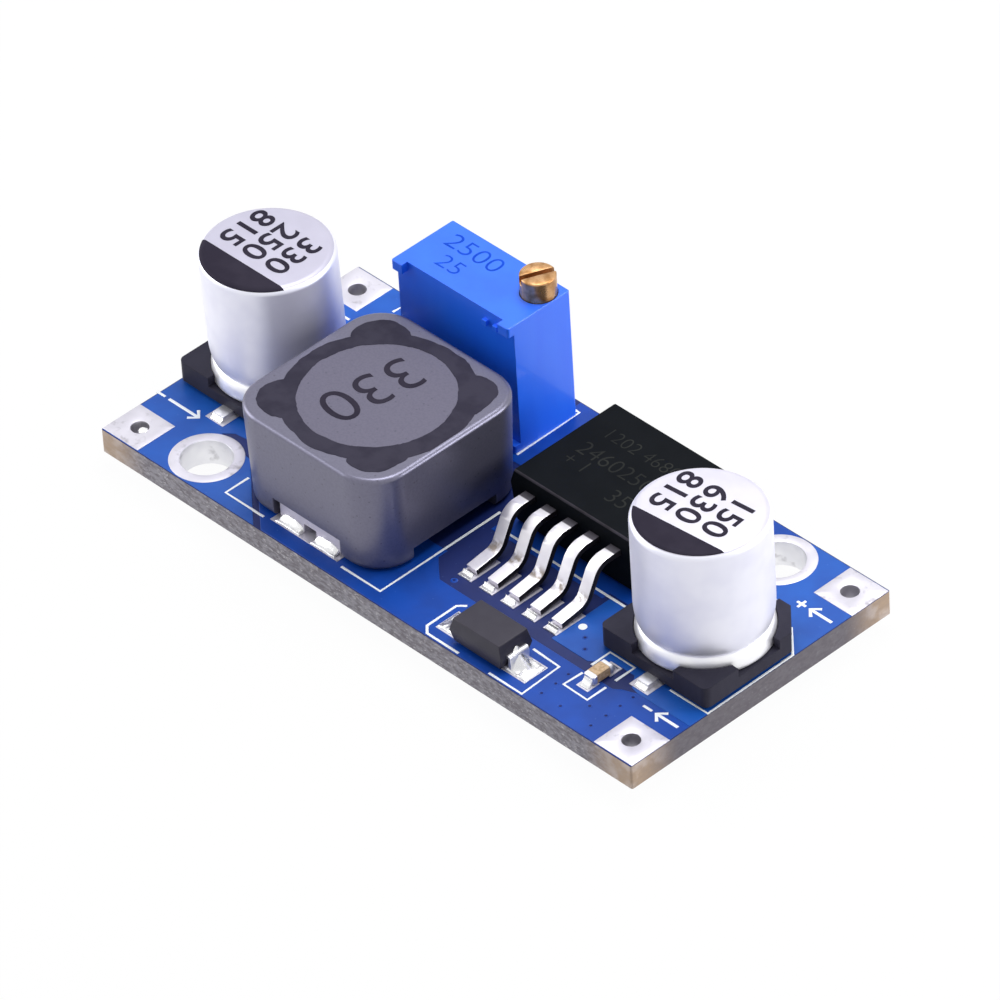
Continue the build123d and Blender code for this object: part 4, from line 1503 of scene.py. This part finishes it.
    def drilled(self, form: Form, node: str, wall: Finish) -> None:
        """Finishes a land, with its hole's wall in another finish.

        Args:
            form: the land round the Z axis.
            node: the CAD node that it stands for.
            wall: finish of the hole's wall.
        """
        x, y, radius = self.bore(node)
        form.paint(
            1, lambda middle, normal: level(normal) and middle.xy.length < radius + TOUCH
        )
        form.shift((x, y, 0))
        form.piece(f"{node}_land", "tinned_copper", [Finishes.land, wall], [node])

    def half_filled_hole(self) -> None:
        """Solder left in the output's negative hole."""
        x, y, _ = self.bore("output_negative_terminal")
        form = Form()
        bmesh.ops.create_icosphere(form.mesh, subdivisions=4, radius=self.drop_radius)
        form.scale(self.drop_shape).roughen(*self.drop_lumps)
        form.shift(Vector((x, y, 0)) + Vector(self.drop_place))
        form.piece("solder_in_hole", "solder", [Finishes.solder])

    def vias(self) -> None:
        """Small filled vias, each a dimple with a dark middle."""
        top = self.board.high.z + self.copper_step
        form = Form()
        for x, y in self.via_places:
            ring = Form.lathe([(radius, top + rise) for radius, rise in self.via_profile], 24)
            ring.paint(1, lambda middle, normal: middle.xy.length > self.via_middle)
            form.join(ring.shift((x, y, 0)))
        form.piece("filled_vias", "laminate", [Finishes.via, Finishes.mask_deep])

    def legend(self) -> None:
        """White printed outlines, with plain signs where the terminals are marked."""
        top = self.board.high.z
        ink = Print(top, top + self.legend_step)
        width = self.legend_width
        for line in self.legend_lines:
            ink.stroke(line, width)
        ink.dot(*self.first_lead_dot)
        ink.stroke(self.far_sign, width)
        self.marks(ink)
        ink.form.piece("board_legend", "laminate", [Finishes.legend])

    def marks(self, ink: Print) -> None:
        """Plain signs and flow arrows beside the terminals.

        Args:
            ink: the legend that they are printed with.
        """
        width, thin = self.legend_width * 1.2, self.legend_width * 1.02
        for x, y, reach, plus in self.arrows:
            sign, half = x - abs(reach) - self.sign_gap, self.sign_half
            ink.stroke([(sign - half, y), (sign + half, y)], thin)
            if plus:
                ink.stroke([(sign, y - half), (sign, y + half)], thin)
            tip, side = x - reach, self.barb[1]
            tail = tip + math.copysign(self.barb[0], reach)
            ink.stroke([(x + reach, y), (tip, y)], width)
            ink.stroke([(tail, y - side), (tip, y), (tail, y + side)], width)


@dataclass
class CanCapacitor:
    """Electrolytic capacitor: drawn can, printed crown and moulded seat."""

    name: str
    rows: tuple[str, str, str]
    crown: Finish = Finishes.crown
    turn: float = 0.0
    lean: Point = (0.0, 0.0)
    sector_drop: float = 0.07
    slack: float = 0.02
    bead: Point = (0.14, 1.06)
    bead_steps: int = 17
    bead_step: float = 10.4
    neck_steps: int = 8
    steps: int = 128
    neck_rise: float = 1.2
    wall_rise: float = 2.6
    neck_depth: float = 0.32
    crown_edge: float = 0.45
    sector_from_middle: float = 1.86
    print_step: float = 0.012
    figure_height: float = 1.5
    figure_weight: float = 0.03
    figure_stretch: float = 1.12
    row_places: Triple = (1.55, -0.35, -2.25)
    row_shift: float = 0.5

    def build(self) -> None:
        """Makes the can and its print."""
        self.span = Span.of(f"{self.name}_can")
        self.radius = self.span.size.x / 2 - self.slack
        self.can()
        self.sector()
        self.figures()

    def outline(self, grow: float, foot: float) -> list[Point]:
        """Profile of the crown's rounded edge, from a height upwards.

        Args:
            grow: how far it stands off the can.
            foot: height of its lower end.

        Returns:
            Radius and height of each corner.
        """
        top, bend = self.span.high.z, self.crown_edge
        centre = (self.radius - bend, top - bend)
        first = math.asin(max(0.0, foot - centre[1]) / bend)
        reach = bend + grow
        rim = []
        for step in range(9):
            angle = first + (math.pi / 2 - first) * step / 8
            rim.append((centre[0] + reach * math.cos(angle), centre[1] + reach * math.sin(angle)))
        return [(0.0, rim[0][1])] + rim + [(0.0, rim[-1][1])]

    def can(self) -> None:
        """Can with its bead, its rolled neck and its rounded crown."""
        foot, top, radius = self.span.low.z, self.span.high.z, self.radius
        (under, over), depth = self.bead, self.neck_depth
        widest, neck = radius + self.slack, foot + self.neck_rise
        profile = [(0.0, foot)]
        for step in range(self.bead_steps):
            angle = math.radians(-90 + self.bead_step * step)
            rise = under + math.sin(angle) * (over if angle > 0 else under)
            profile.append((widest - depth * (1 - math.cos(angle)), foot + rise))
        wall, drop = foot + self.wall_rise, self.wall_rise - self.neck_rise
        profile.append((radius - depth, neck))
        for step in range(1, self.neck_steps + 1):
            angle = math.pi / 2 * step / self.neck_steps
            profile.append((radius - depth * (1 - math.sin(angle)), wall - drop * math.cos(angle)))
        profile += [(radius, top), (0.0, top)]
        form = Form.lathe(profile, self.steps)
        form.bevel(
            self.crown_edge, 9,
            lambda middle, along: middle.z > top - 1e-3 and level(along),
        )
        form.paint(1, lambda middle, normal: normal.z > 0.8 and middle.z > top - 0.3)
        # Faces below the neck take the brighter bead aluminium, a painted highlight.
        form.paint(2, lambda middle, normal: middle.z < neck)
        finishes = [Finishes.can, self.crown, Finishes.bead]
        self.placed(form).piece(
            f"{self.name}_shell", "can_aluminium", finishes, [f"{self.name}_can"]
        )

    def placed(self, form: Form) -> Form:
        """Stands a form on the seat, with the can's slight lean.

        Args:
            form: a form round the Z axis, at its height on the can.

        Returns:
            The same form, over the seat.
        """
        foot, height, middle = self.span.low.z, self.span.size.z, self.span.centre
        for vert in form.mesh.verts:
            share = (vert.co.z - foot) / height
            vert.co.x += middle.x + self.lean[0] * share
            vert.co.y += middle.y + self.lean[1] * share
        return form

    def sector(self) -> None:
        """Dark printed sector that marks the negative side and runs over the rim."""
        top = self.span.high.z
        form = Form.lathe(self.outline(self.print_step, top - self.sector_drop), self.steps)
        form.halve((0, -self.sector_from_middle, 0), (0, 1, 0))
        self.printed(form, "sector")

    def figures(self) -> None:
        """Three rows of plain figures on the crown."""
        top = self.span.high.z
        ink = Print(top, top + self.print_step)
        for text, row in zip(self.rows, self.row_places):
            ink.figures(
                text, self.figure_height, (row, self.row_shift), -90,
                self.figure_weight, self.figure_stretch,
            )
        self.printed(ink.form, "figures")

    def printed(self, form: Form, part: str) -> None:
        """Turns a print to the can's own angle and finishes it.

        Args:
            form: the print round the Z axis.
            part: end of the piece's name.
        """
        form = self.placed(form.turn(self.turn))
        form.piece(f"{self.name}_{part}", "can_aluminium", [Finishes.print_dark])


@dataclass
class ShieldedInductor:
    """Ferrite shield, cast resin and the marked top of the core."""

    corner: float = 2.5
    rim: float = 0.3
    foot_edge: float = 0.42
    foot_taper: float = 0.2
    cut_edge: float = 0.07
    opening: float = 10.8
    lobe: float = 3.1
    lobe_wall: float = 0.93
    lobe_end: float = 6.3
    resin_depth: float = 0.9
    flow_over: float = 0.012
    resin_grow: Point = (0.06, 0.1)
    resin_drift: float = 0.18
    resin_spread: Point = (0.05, 0.03)
    resin_ripples: tuple[Point, Point] = ((0.11, 0.9), (0.05, 4.0))
    resin_margin: float = 0.03
    side_gap: Point = (6.4, 0.9)
    notch: Point = (5.5, 1.35)
    disc_radius: float = 4.56
    print_step: float = 0.012
    figure_height: float = 2.9
    figure_shift: Point = (-0.72, 0.15)
    solder_slot: float = 0.45
    solder_margin: Point = (0.02, 0.06)
    solder_rise: float = 0.34

    def build(self) -> None:
        """Makes the shield, the resin and the print."""
        self.span = Span.of("inductor_shield")
        self.middle = self.span.centre
        self.shield()
        self.resin()
        self.figures()
        self.solder()

    def lobes(self, low: float, high: float, grow: float = 0.0) -> list[Form]:
        """Upright rods at the four corners of the opening.

        Args:
            low: height of their feet.
            high: height of their tops.
            grow: how much wider they are than the shield's own lobes.

        Returns:
            The rods, round the Z axis.
        """
        straight = self.span.size.x / 2 - self.corner
        reach = straight * math.sqrt(2) + self.corner - self.lobe_wall - self.lobe / 2
        made = []
        for quarter in range(4):
            angle = math.radians(45 + 90 * quarter)
            place = (reach * math.cos(angle), reach * math.sin(angle))
            made.append(Form.rod(*place, self.lobe / 2 + grow, low, high, 48))
        return made

    def shield(self) -> None:
        """Rounded box, narrower at its foot, with its lobed opening and side cuts."""
        half = self.span.size.x / 2
        low, high = self.span.low.z, self.span.high.z
        form = Form.block((-half, -half, low), (half, half, high))
        form.bevel(self.corner, 12, lambda middle, along: upright(along))
        form.narrow(1 - self.foot_taper / half, (0, 0), lambda place: place.z < low + TOUCH)
        form.bevel(self.foot_edge, 6, lambda middle, along: middle.z < low + TOUCH)
        form.bevel(self.rim, 5, lambda middle, along: middle.z > high - TOUCH)
        form.cut(Form.rod(0, 0, self.opening / 2, low - 1, high + 1))
        form.cut(*self.lobes(high - self.resin_depth, high + 1))
        gap, lift = self.side_gap
        width, height = self.notch
        form.cut(
            Form.block((-half - 1, -gap / 2, low - 1), (half + 1, gap / 2, low + lift)),
            Form.block((-width / 2, -half - 1, low - 1), (width / 2, half + 1, low + height)),
        )
        form.bevel(
            self.cut_edge, 2,
            lambda middle, along: middle.z < low + height + 0.05 or middle.z > high - TOUCH, 50,
        )
        form.shift((self.middle.x, self.middle.y, 0))
        form.piece(
            "inductor_shield_body", "ferrite_shield", [Finishes.ferrite], ["inductor_shield"],
            smooth=32,
        )

    def resin(self) -> None:
        """Resin that fills the opening round the core and has run a little over its edge."""
        high = self.span.high.z
        low, top = high - self.resin_depth, high + self.flow_over
        ring_grow, lobe_grow = self.resin_grow
        form = Form.rod(0, 0, self.opening / 2 + ring_grow, low, top, 144)
        form.fuse(*self.lobes(low, top, lobe_grow))
        form.cut(Form.rod(0, 0, self.disc_radius, low - 1, top + 1, 144))
        fade = self.lobe_end - self.opening / 2 - 0.1
        for vert in form.mesh.verts:
            reach = vert.co.xy.length
            if reach > self.disc_radius + 0.3:
                share = min(1.0, max(0.0, (self.lobe_end - reach) / fade))
                vert.co.x += (self.resin_drift + self.resin_spread[0] * vert.co.x) * share
                vert.co.y += self.resin_spread[1] * vert.co.y * share
        for ripple in self.resin_ripples:
            form.roughen(*ripple)
        flat = self.span.size.x / 2 - self.rim - self.resin_margin
        for vert in form.mesh.verts:
            vert.co.x = min(flat, max(-flat, vert.co.x))
            vert.co.y = min(flat, max(-flat, vert.co.y))
        form.shift((self.middle.x, self.middle.y, 0))
        form.piece("inductor_resin_fill", "casting_resin", [Finishes.resin], ["inductor_resin"])

    def figures(self) -> None:
        """Plain figures on the core's ground top."""
        high = self.span.high.z
        ink = Print(high, high + self.print_step)
        place = self.middle.xy + Vector(self.figure_shift)
        ink.figures("330", self.figure_height, tuple(place), -98, -0.03, 1.05)
        ink.form.piece("inductor_figures", "ferrite_core", [Finishes.print_dark])

    def solder(self) -> None:
        """Bright solder on both lands, open at each clip's middle slot."""
        clip, lands = Span.of("inductor_near_clip"), Span.of("inductor_lands")
        middle, slot = self.middle, self.solder_slot
        ends, toe = self.solder_margin
        halves = {
            "left": (clip.low.x + ends, middle.x - slot),
            "right": (middle.x + slot, clip.high.x - ends),
        }
        sides = {
            "near": (clip.low.y, lands.low.y + toe),
            "far": (2 * middle.y - clip.low.y, lands.high.y - toe),
        }
        for side, along in sides.items():
            for half, across in halves.items():
                mound = SolderMound(
                    along, across, lands.high.z, self.solder_rise, lump=0.03, sideways=True
                )
                mound.build(f"inductor_solder_{side}_{half}", ["inductor_solder"])


@dataclass
class ScrewTrimmer:
    """Adjusting screw's head and the figures sunk into the housing."""

    head_grow: float = 0.04
    slot: Point = (0.36, 0.5)
    slot_angle: float = 66.0
    slot_edge: float = 0.03
    chamfer: float = 0.1
    split: float = 0.45
    steps: int = 72
    figure_height: float = 1.25
    figure_step: float = 0.004
    rows: tuple[tuple[str, float, Point], ...] = (
        ("2500", 1.0, (-8.75, 7.8)), ("25", 0.9, (-9.0, 6.15)),
    )

    def build(self) -> None:
        """Makes the screw and the figures."""
        self.housing = Span.of("trimmer_housing")
        self.screw()
        self.figures()

    def screw(self) -> None:
        """Turned head with its slot, on the CAD screw's neck and worm."""
        node = Span.of("trimmer_screw")
        top, radius = node.high.z, node.size.x / 2 + self.head_grow
        x, y = node.centre.x, node.centre.y
        split = self.housing.high.z - self.split
        head = Form.lathe([(0.0, split), (radius, split), (radius, top), (0.0, top)], self.steps)
        head.bevel(
            self.chamfer, 3, lambda middle, along: middle.z > top - TOUCH and level(along)
        )
        width, depth = self.slot
        slot = Form.block((-radius - 1, -width / 2, top - depth), (radius + 1, width / 2, top + 1))
        head.cut(slot.turn(self.slot_angle))
        head.bevel(
            self.slot_edge, 2,
            lambda middle, along: middle.z > top - depth - TOUCH and level(along), 60,
        )
        worm = Form.of_node(frame["nodes"]["trimmer_screw"])
        worm.halve((0, 0, split + TOUCH), (0, 0, 1)).join(head.shift((x, y, 0)))
        brass = TurnedBrass(
            "turned_brass", (0.8, 0.63, 0.45), (0.64, 0.46, 0.28), 0.3,
            metallic=0.85, depth=0.006, middle=(x, y),
        )
        worm.piece(
            "adjusting_screw", "screw_brass", [brass], ["trimmer_screw"], body="screw", smooth=32
        )

    def figures(self) -> None:
        """Figures sunk into the top, as shaded strokes."""
        top = self.housing.high.z
        ink = Print(top, top + self.figure_step)
        for text, share, place in self.rows:
            ink.figures(text, self.figure_height * share, place, 0, -0.02, 1.2)
        ink.form.piece("trimmer_figures", "trimmer_blue", [Finishes.blue_mark])


def drafted(span: Span, parting: float, share: float, edge: float) -> Form:
    """A moulded package that is widest at its parting line.

    Args:
        span: the package's limits.
        parting: height of the parting line.
        share: part of its width by which each side of its top and its foot is drawn in.
        edge: rounding of its edges.

    Returns:
        The package.
    """
    middle = span.centre
    form = Form.block(span.low, span.high).seam(parting)
    form.narrow(1 - 2 * share, (middle.x, middle.y), lambda place: abs(place.z - parting) > TOUCH)
    return form.bevel(edge, 3)


@dataclass
class PowerRegulator:
    """Moulded package and its five formed leads."""

    parting_rise: float = 2.95
    draft: float = 0.24
    edge: float = 0.1
    worn_rim: float = 0.12
    print_step: float = 0.003
    leads: int = 5
    lead_sheet: float = 0.4
    lead_edge: float = 0.035
    lead_bends: Point = (0.72, 0.4)
    lead_level: float = 2.5
    root: float = 0.7
    # How far out from the package's front the painted shade on each lead's root reaches.
    dull_root: float = 0.42
    burn: float = 0.1
    shoulder: float = 1.64
    heel: float = 2.75
    heel_lift: float = 0.27
    toe: float = 4.68
    reach: float = 4.9
    rows: tuple[tuple[str, float, Point], ...] = (
        ("1202 4680", 0.95, (6.2, 6.05)), ("2460250", 1.15, (6.0, 4.2)),
        ("+ 1", 1.0, (4.1, 3.0)), ("35", 1.15, (8.1, 2.3)),
    )

    def build(self) -> None:
        """Makes the package, its marks and its leads."""
        self.span = Span.of("regulator_body")
        self.board_top = Span.of("circuit_board").high.z
        self.package()
        self.marks()
        for index in range(self.leads):
            self.lead(f"regulator_lead_{index + 1}")

    def package(self) -> None:
        """Body that is widest at its parting line, with a painted highlight along its front top
        edge.
        """
        form = drafted(
            self.span, self.board_top + self.parting_rise, self.draft / self.span.size.x, self.edge
        )
        # Faces on the front top edge take the lighter rim finish, a painted highlight.
        front, top = self.span.low.y + self.draft + self.worn_rim, self.span.high.z - self.worn_rim
        form.paint(
            1,
            lambda middle, normal: middle.y < front and middle.z > top and 0.2 < normal.z < 0.98,
        )
        finishes = [Finishes.epoxy, Finishes.epoxy_rim]
        form.piece("regulator_package", "package_epoxy", finishes, ["regulator_body"])

    def marks(self) -> None:
        """Faint rows of plain figures."""
        top = self.span.high.z
        ink = Print(top, top + self.print_step)
        for text, height, place in self.rows:
            ink.figures(text, height, place, 0, -0.02, 1.0)
        ink.form.piece("regulator_marks", "package_epoxy", [Finishes.epoxy_mark])

    def lead(self, node: str) -> None:
        """One lead, folded from the package down to its toe.

        Args:
            node: the CAD node that it stands for.
        """
        span = Span.of(node)
        front = span.low.y + self.reach
        high = self.board_top + self.lead_level + self.lead_sheet
        low = span.low.z + self.lead_sheet
        line = [
            (front + self.root, high), (front - self.shoulder, high),
            (front - self.heel, low + self.heel_lift), (front - self.toe, low),
        ]
        form = Form.strip(line, (span.low.x, span.high.x), self.lead_sheet, self.lead_bends)
        form.bevel(self.lead_edge, 2, None, 60)
        # The side faces take the dark finish, painted shade.
        form.paint(1, lambda middle, normal: abs(normal.x) > 0.9)
        tin = FormedLead(
            "formed_lead", (0.97, 0.96, 0.98), (0.9, 0.89, 0.92), 0.32,
            metallic=0.85, grain=3.0, root=front - self.dull_root,
            bend=front - self.heel - self.burn,
        )
        form.piece(f"{node}_strip", "lead_tin", [tin, Finishes.lead_side], [node])


@dataclass
class CatchDiode:
    """Moulded diode and the solder that climbs its leads."""

    parting_rise: float = 0.95
    draft: float = 0.16
    edge: float = 0.06
    overlap: float = 0.1
    margin: Point = (0.05, 0.1)
    solder_rises: Point = (1.15, 0.5)
    solder_peak: float = 2.2

    def build(self) -> None:
        """Makes the package and the solder."""
        self.span = Span.of("diode_body")
        parting = Span.of("circuit_board").high.z + self.parting_rise
        form = drafted(self.span, parting, self.draft / self.span.size.y, self.edge)
        form.piece("diode_package", "diode_epoxy", [Finishes.charcoal], ["diode_body"])
        self.solder()

    def solder(self) -> None:
        """Lumpy solder over both lands."""
        lands, body = Span.of("diode_lands"), self.span
        toe, side = self.margin
        across = (lands.low.y + side, lands.high.y - side)
        ends = {
            "right": (body.high.x - self.overlap, lands.high.x - toe),
            "left": (body.low.x + self.overlap, lands.low.x + toe),
        }
        for (end, along), rise in zip(ends.items(), self.solder_rises):
            mound = SolderMound(along, across, lands.high.z, rise, peak=self.solder_peak)
            mound.build(f"diode_solder_{end}", ["diode_solder"])


@dataclass
class SolderMound:
    """Solder that climbs a wall and runs out flat over a land, along X or sideways along Y."""

    along: Point
    across: Point
    foot: float
    rise: float
    cells: int = 22
    skirt: float = 0.02
    layer: float = 0.1
    lump: float = 0.1
    lumps: Point = (2.1, 5.0)
    fine_share: float = 0.35
    dent: float = 0.06
    peak: float = 0.0
    sideways: bool = False

    def build(self, name: str, replaces: Sequence[str]) -> None:
        """Makes the mound, with its foot on the land.

        Args:
            name: the piece's name.
            replaces: CAD nodes that it stands for.
        """
        start, end = self.along
        left, right = self.across
        low, high = sorted(self.along)
        form = Form.block((low, left, self.foot), (high, right, self.foot + 1.0))
        flat = [
            edge for edge in form.mesh.edges
            if abs(edge.verts[0].co.z - edge.verts[1].co.z) < TOUCH
        ]
        bmesh.ops.subdivide_edges(form.mesh, edges=flat, cuts=self.cells, use_grid_fill=True)
        for vert in form.mesh.verts:
            if vert.co.z < self.foot + 0.5:
                continue
            out = (vert.co.x - start) / (end - start)
            side = abs(2 * (vert.co.y - left) / (right - left) - 1)
            bank = max(0.0, 1 - side**4) ** 0.5 * max(0.0, 1 - out**6) ** 0.5
            coarse, fine = (noise.noise(vert.co * per_mm) for per_mm in self.lumps)
            shake = max(self.lump * (coarse + self.fine_share * fine), -self.dent)
            slope = max(0.0, 1 - out * 1.15) ** 1.9 * (1 - 0.3 * side**2)
            climb = self.rise * slope * math.exp(-self.peak * side * side)
            vert.co.z = self.foot + self.skirt + bank * (self.layer + climb + shake)
        if self.sideways:
            for vert in form.mesh.verts:
                vert.co.x, vert.co.y = vert.co.y, vert.co.x
        form.merged().piece(name, "solder", [Finishes.solder], replaces, smooth=80)


@dataclass(frozen=True)
class Lamp:
    """A soft square lamp; its place and side are in millimetres and its power in watts."""

    name: str
    place: Triple
    side: float
    power: float


@dataclass
class Studio:
    """Camera, pale floor, white backdrop and soft lamps.

    The camera's angles are in degrees. Its place is along its own right, up and back.
    """

    aim_height: float = 5.0
    azimuth: float = 48.33
    rise: float = 39.59
    roll: float = -3.68
    camera_place: Triple = (0.46, 1.73, 548.8)
    camera_base: float = 1.0
    sensor: float = 36.0
    focal_share: float = 9.7479
    floor_half: float = 900.0
    floor_top: float = -0.02
    floor_white: Point = (0.97, 0.9)
    lamps: tuple[Lamp, ...] = (
        Lamp("key", (-5, 35, 160), 110, 0.21),
        Lamp("left", (-150, -80, 60), 120, 0.18),
        Lamp("right", (110, 90, 45), 70, 0.115),
    )

    def build(self) -> None:
        """Sets the whole studio up."""
        bpy.context.scene.view_settings.view_transform = "Standard"
        self.camera()
        self.floor()
        self.world()
        for lamp in self.lamps:
            self.light(lamp)

    def camera(self) -> None:
        """Long lens at the photograph's angle."""
        azimuth, rise, roll = map(math.radians, (self.azimuth, self.rise, self.roll))
        flat = math.cos(rise)
        back = Vector((math.sin(azimuth) * flat, -math.cos(azimuth) * flat, math.sin(rise)))
        sideways = Vector((0, 0, 1)).cross(back).normalized()
        right = Matrix.Rotation(roll, 3, back) @ sideways
        turned = Matrix((right, back.cross(right), back)).transposed()
        place = turned @ Vector(self.camera_place) + Vector((0, 0, self.camera_base))
        data = bpy.data.cameras.new("camera")
        data.sensor_width = self.sensor
        data.lens = self.sensor * self.focal_share
        data.clip_start, data.clip_end = 0.01, 5.0
        made = bpy.data.objects.new("camera", data)
        made.matrix_world = Matrix.Translation(place * MM) @ turned.to_4x4()
        bpy.context.scene.collection.objects.link(made)
        bpy.context.scene.camera = made

    def floor(self) -> None:
        """Pale floor that shows white to the camera and keeps a faint shadow."""
        half = self.floor_half
        form = Form.block((-half, -half, -2.0), (half, half, self.floor_top)).scale((MM,) * 3)
        mesh = bpy.data.meshes.new("studio_floor")
        form.mesh.to_mesh(mesh)
        form.mesh.free()
        floor = bpy.data.objects.new("studio_floor", mesh)
        bpy.context.scene.collection.objects.link(floor)
        paint = Paint("studio_floor")
        paint.fix(Base_Color=(0.9, 0.9, 0.9, 1.0), Roughness=0.9, Specular_IOR_Level=0.0)
        white = paint.node("ShaderNodeEmission", inputs={"Color": WHITE, "Strength": 1.0})
        shaders = {0: paint.watched(*self.floor_white), 1: paint.shader.outputs[0]}
        mixed = paint.node("ShaderNodeMixShader", inputs={**shaders, 2: white.outputs[0]})
        paint.feed(paint.output.inputs["Surface"], mixed.outputs[0])
        mesh.materials.append(paint.material)
        floor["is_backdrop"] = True

    def world(self) -> None:
        """White for the camera and for reflections, softer as light."""
        world = bpy.data.worlds.new("studio")
        world.use_nodes = True
        bpy.context.scene.world = world
        nodes = Nodes(world.node_tree)
        soft, white = (
            nodes.node("ShaderNodeBackground", inputs={"Color": colour, "Strength": strength})
            for colour, strength in (((0.96, 0.97, 1.0, 1.0), 0.3), (WHITE, 1.0))
        )
        shaders = {0: nodes.watched(1.0, 1.0), 1: soft.outputs[0], 2: white.outputs[0]}
        mixed = nodes.node("ShaderNodeMixShader", inputs=shaders)
        nodes.node("ShaderNodeOutputWorld", inputs={0: mixed.outputs[0]})

    def light(self, lamp: Lamp) -> None:
        """Hangs one lamp, aimed at the board.

        Args:
            lamp: its place and power.
        """
        data = bpy.data.lights.new(lamp.name, "AREA")
        data.shape = "SQUARE"
        data.size = lamp.side * MM
        data.energy = lamp.power
        made = bpy.data.objects.new(lamp.name, data)
        made.location = Vector(lamp.place) * MM
        aim = Vector((0, 0, self.aim_height)) - Vector(lamp.place)
        made.rotation_euler = aim.to_track_quat("-Z", "Y").to_euler()
        bpy.context.scene.collection.objects.link(made)


def dress_nodes() -> None:
    """Gives every CAD node that stays in view its finish."""
    slots = {part["node"]: part["material_slot"] for part in frame["record"]["subparts"]}
    for name, node in frame["nodes"].items():
        if slots[name] not in NodeFinish.__members__:
            continue
        finish = Finishes.clip if name in CLIPS else NodeFinish[slots[name]].value
        material = finish.material()
        if not node.material_slots:
            node.data.materials.append(material)
        for holder in node.material_slots:
            holder.material = material
        LOG.info("%s: %s", name, material.name)


def corners() -> list[list[float]]:
    """Lowest and highest corner of what is shown."""
    low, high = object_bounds()
    return [list(low), list(high)]


def main() -> None:
    """Builds the studio and the module, piece by piece."""
    logging.basicConfig(level=logging.INFO, format="%(name)s %(message)s")
    noise.seed_set(SEED)
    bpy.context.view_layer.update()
    Studio().build()
    dress_nodes()
    PrintedBoard().build()
    # The output can's crown takes the darker lacquer, painted shade.
    CanCapacitor(
        "output_capacitor", ("330", "250", "815"), Finishes.dull_crown,
        lean=(-0.17, -0.18), sector_drop=0.17,
    ).build()
    CanCapacitor("input_capacitor", ("150", "630", "815"), turn=5.0).build()
    ShieldedInductor().build()
    ScrewTrimmer().build()
    PowerRegulator().build()
    CatchDiode().build()


if __name__ == "__main__":
    main()
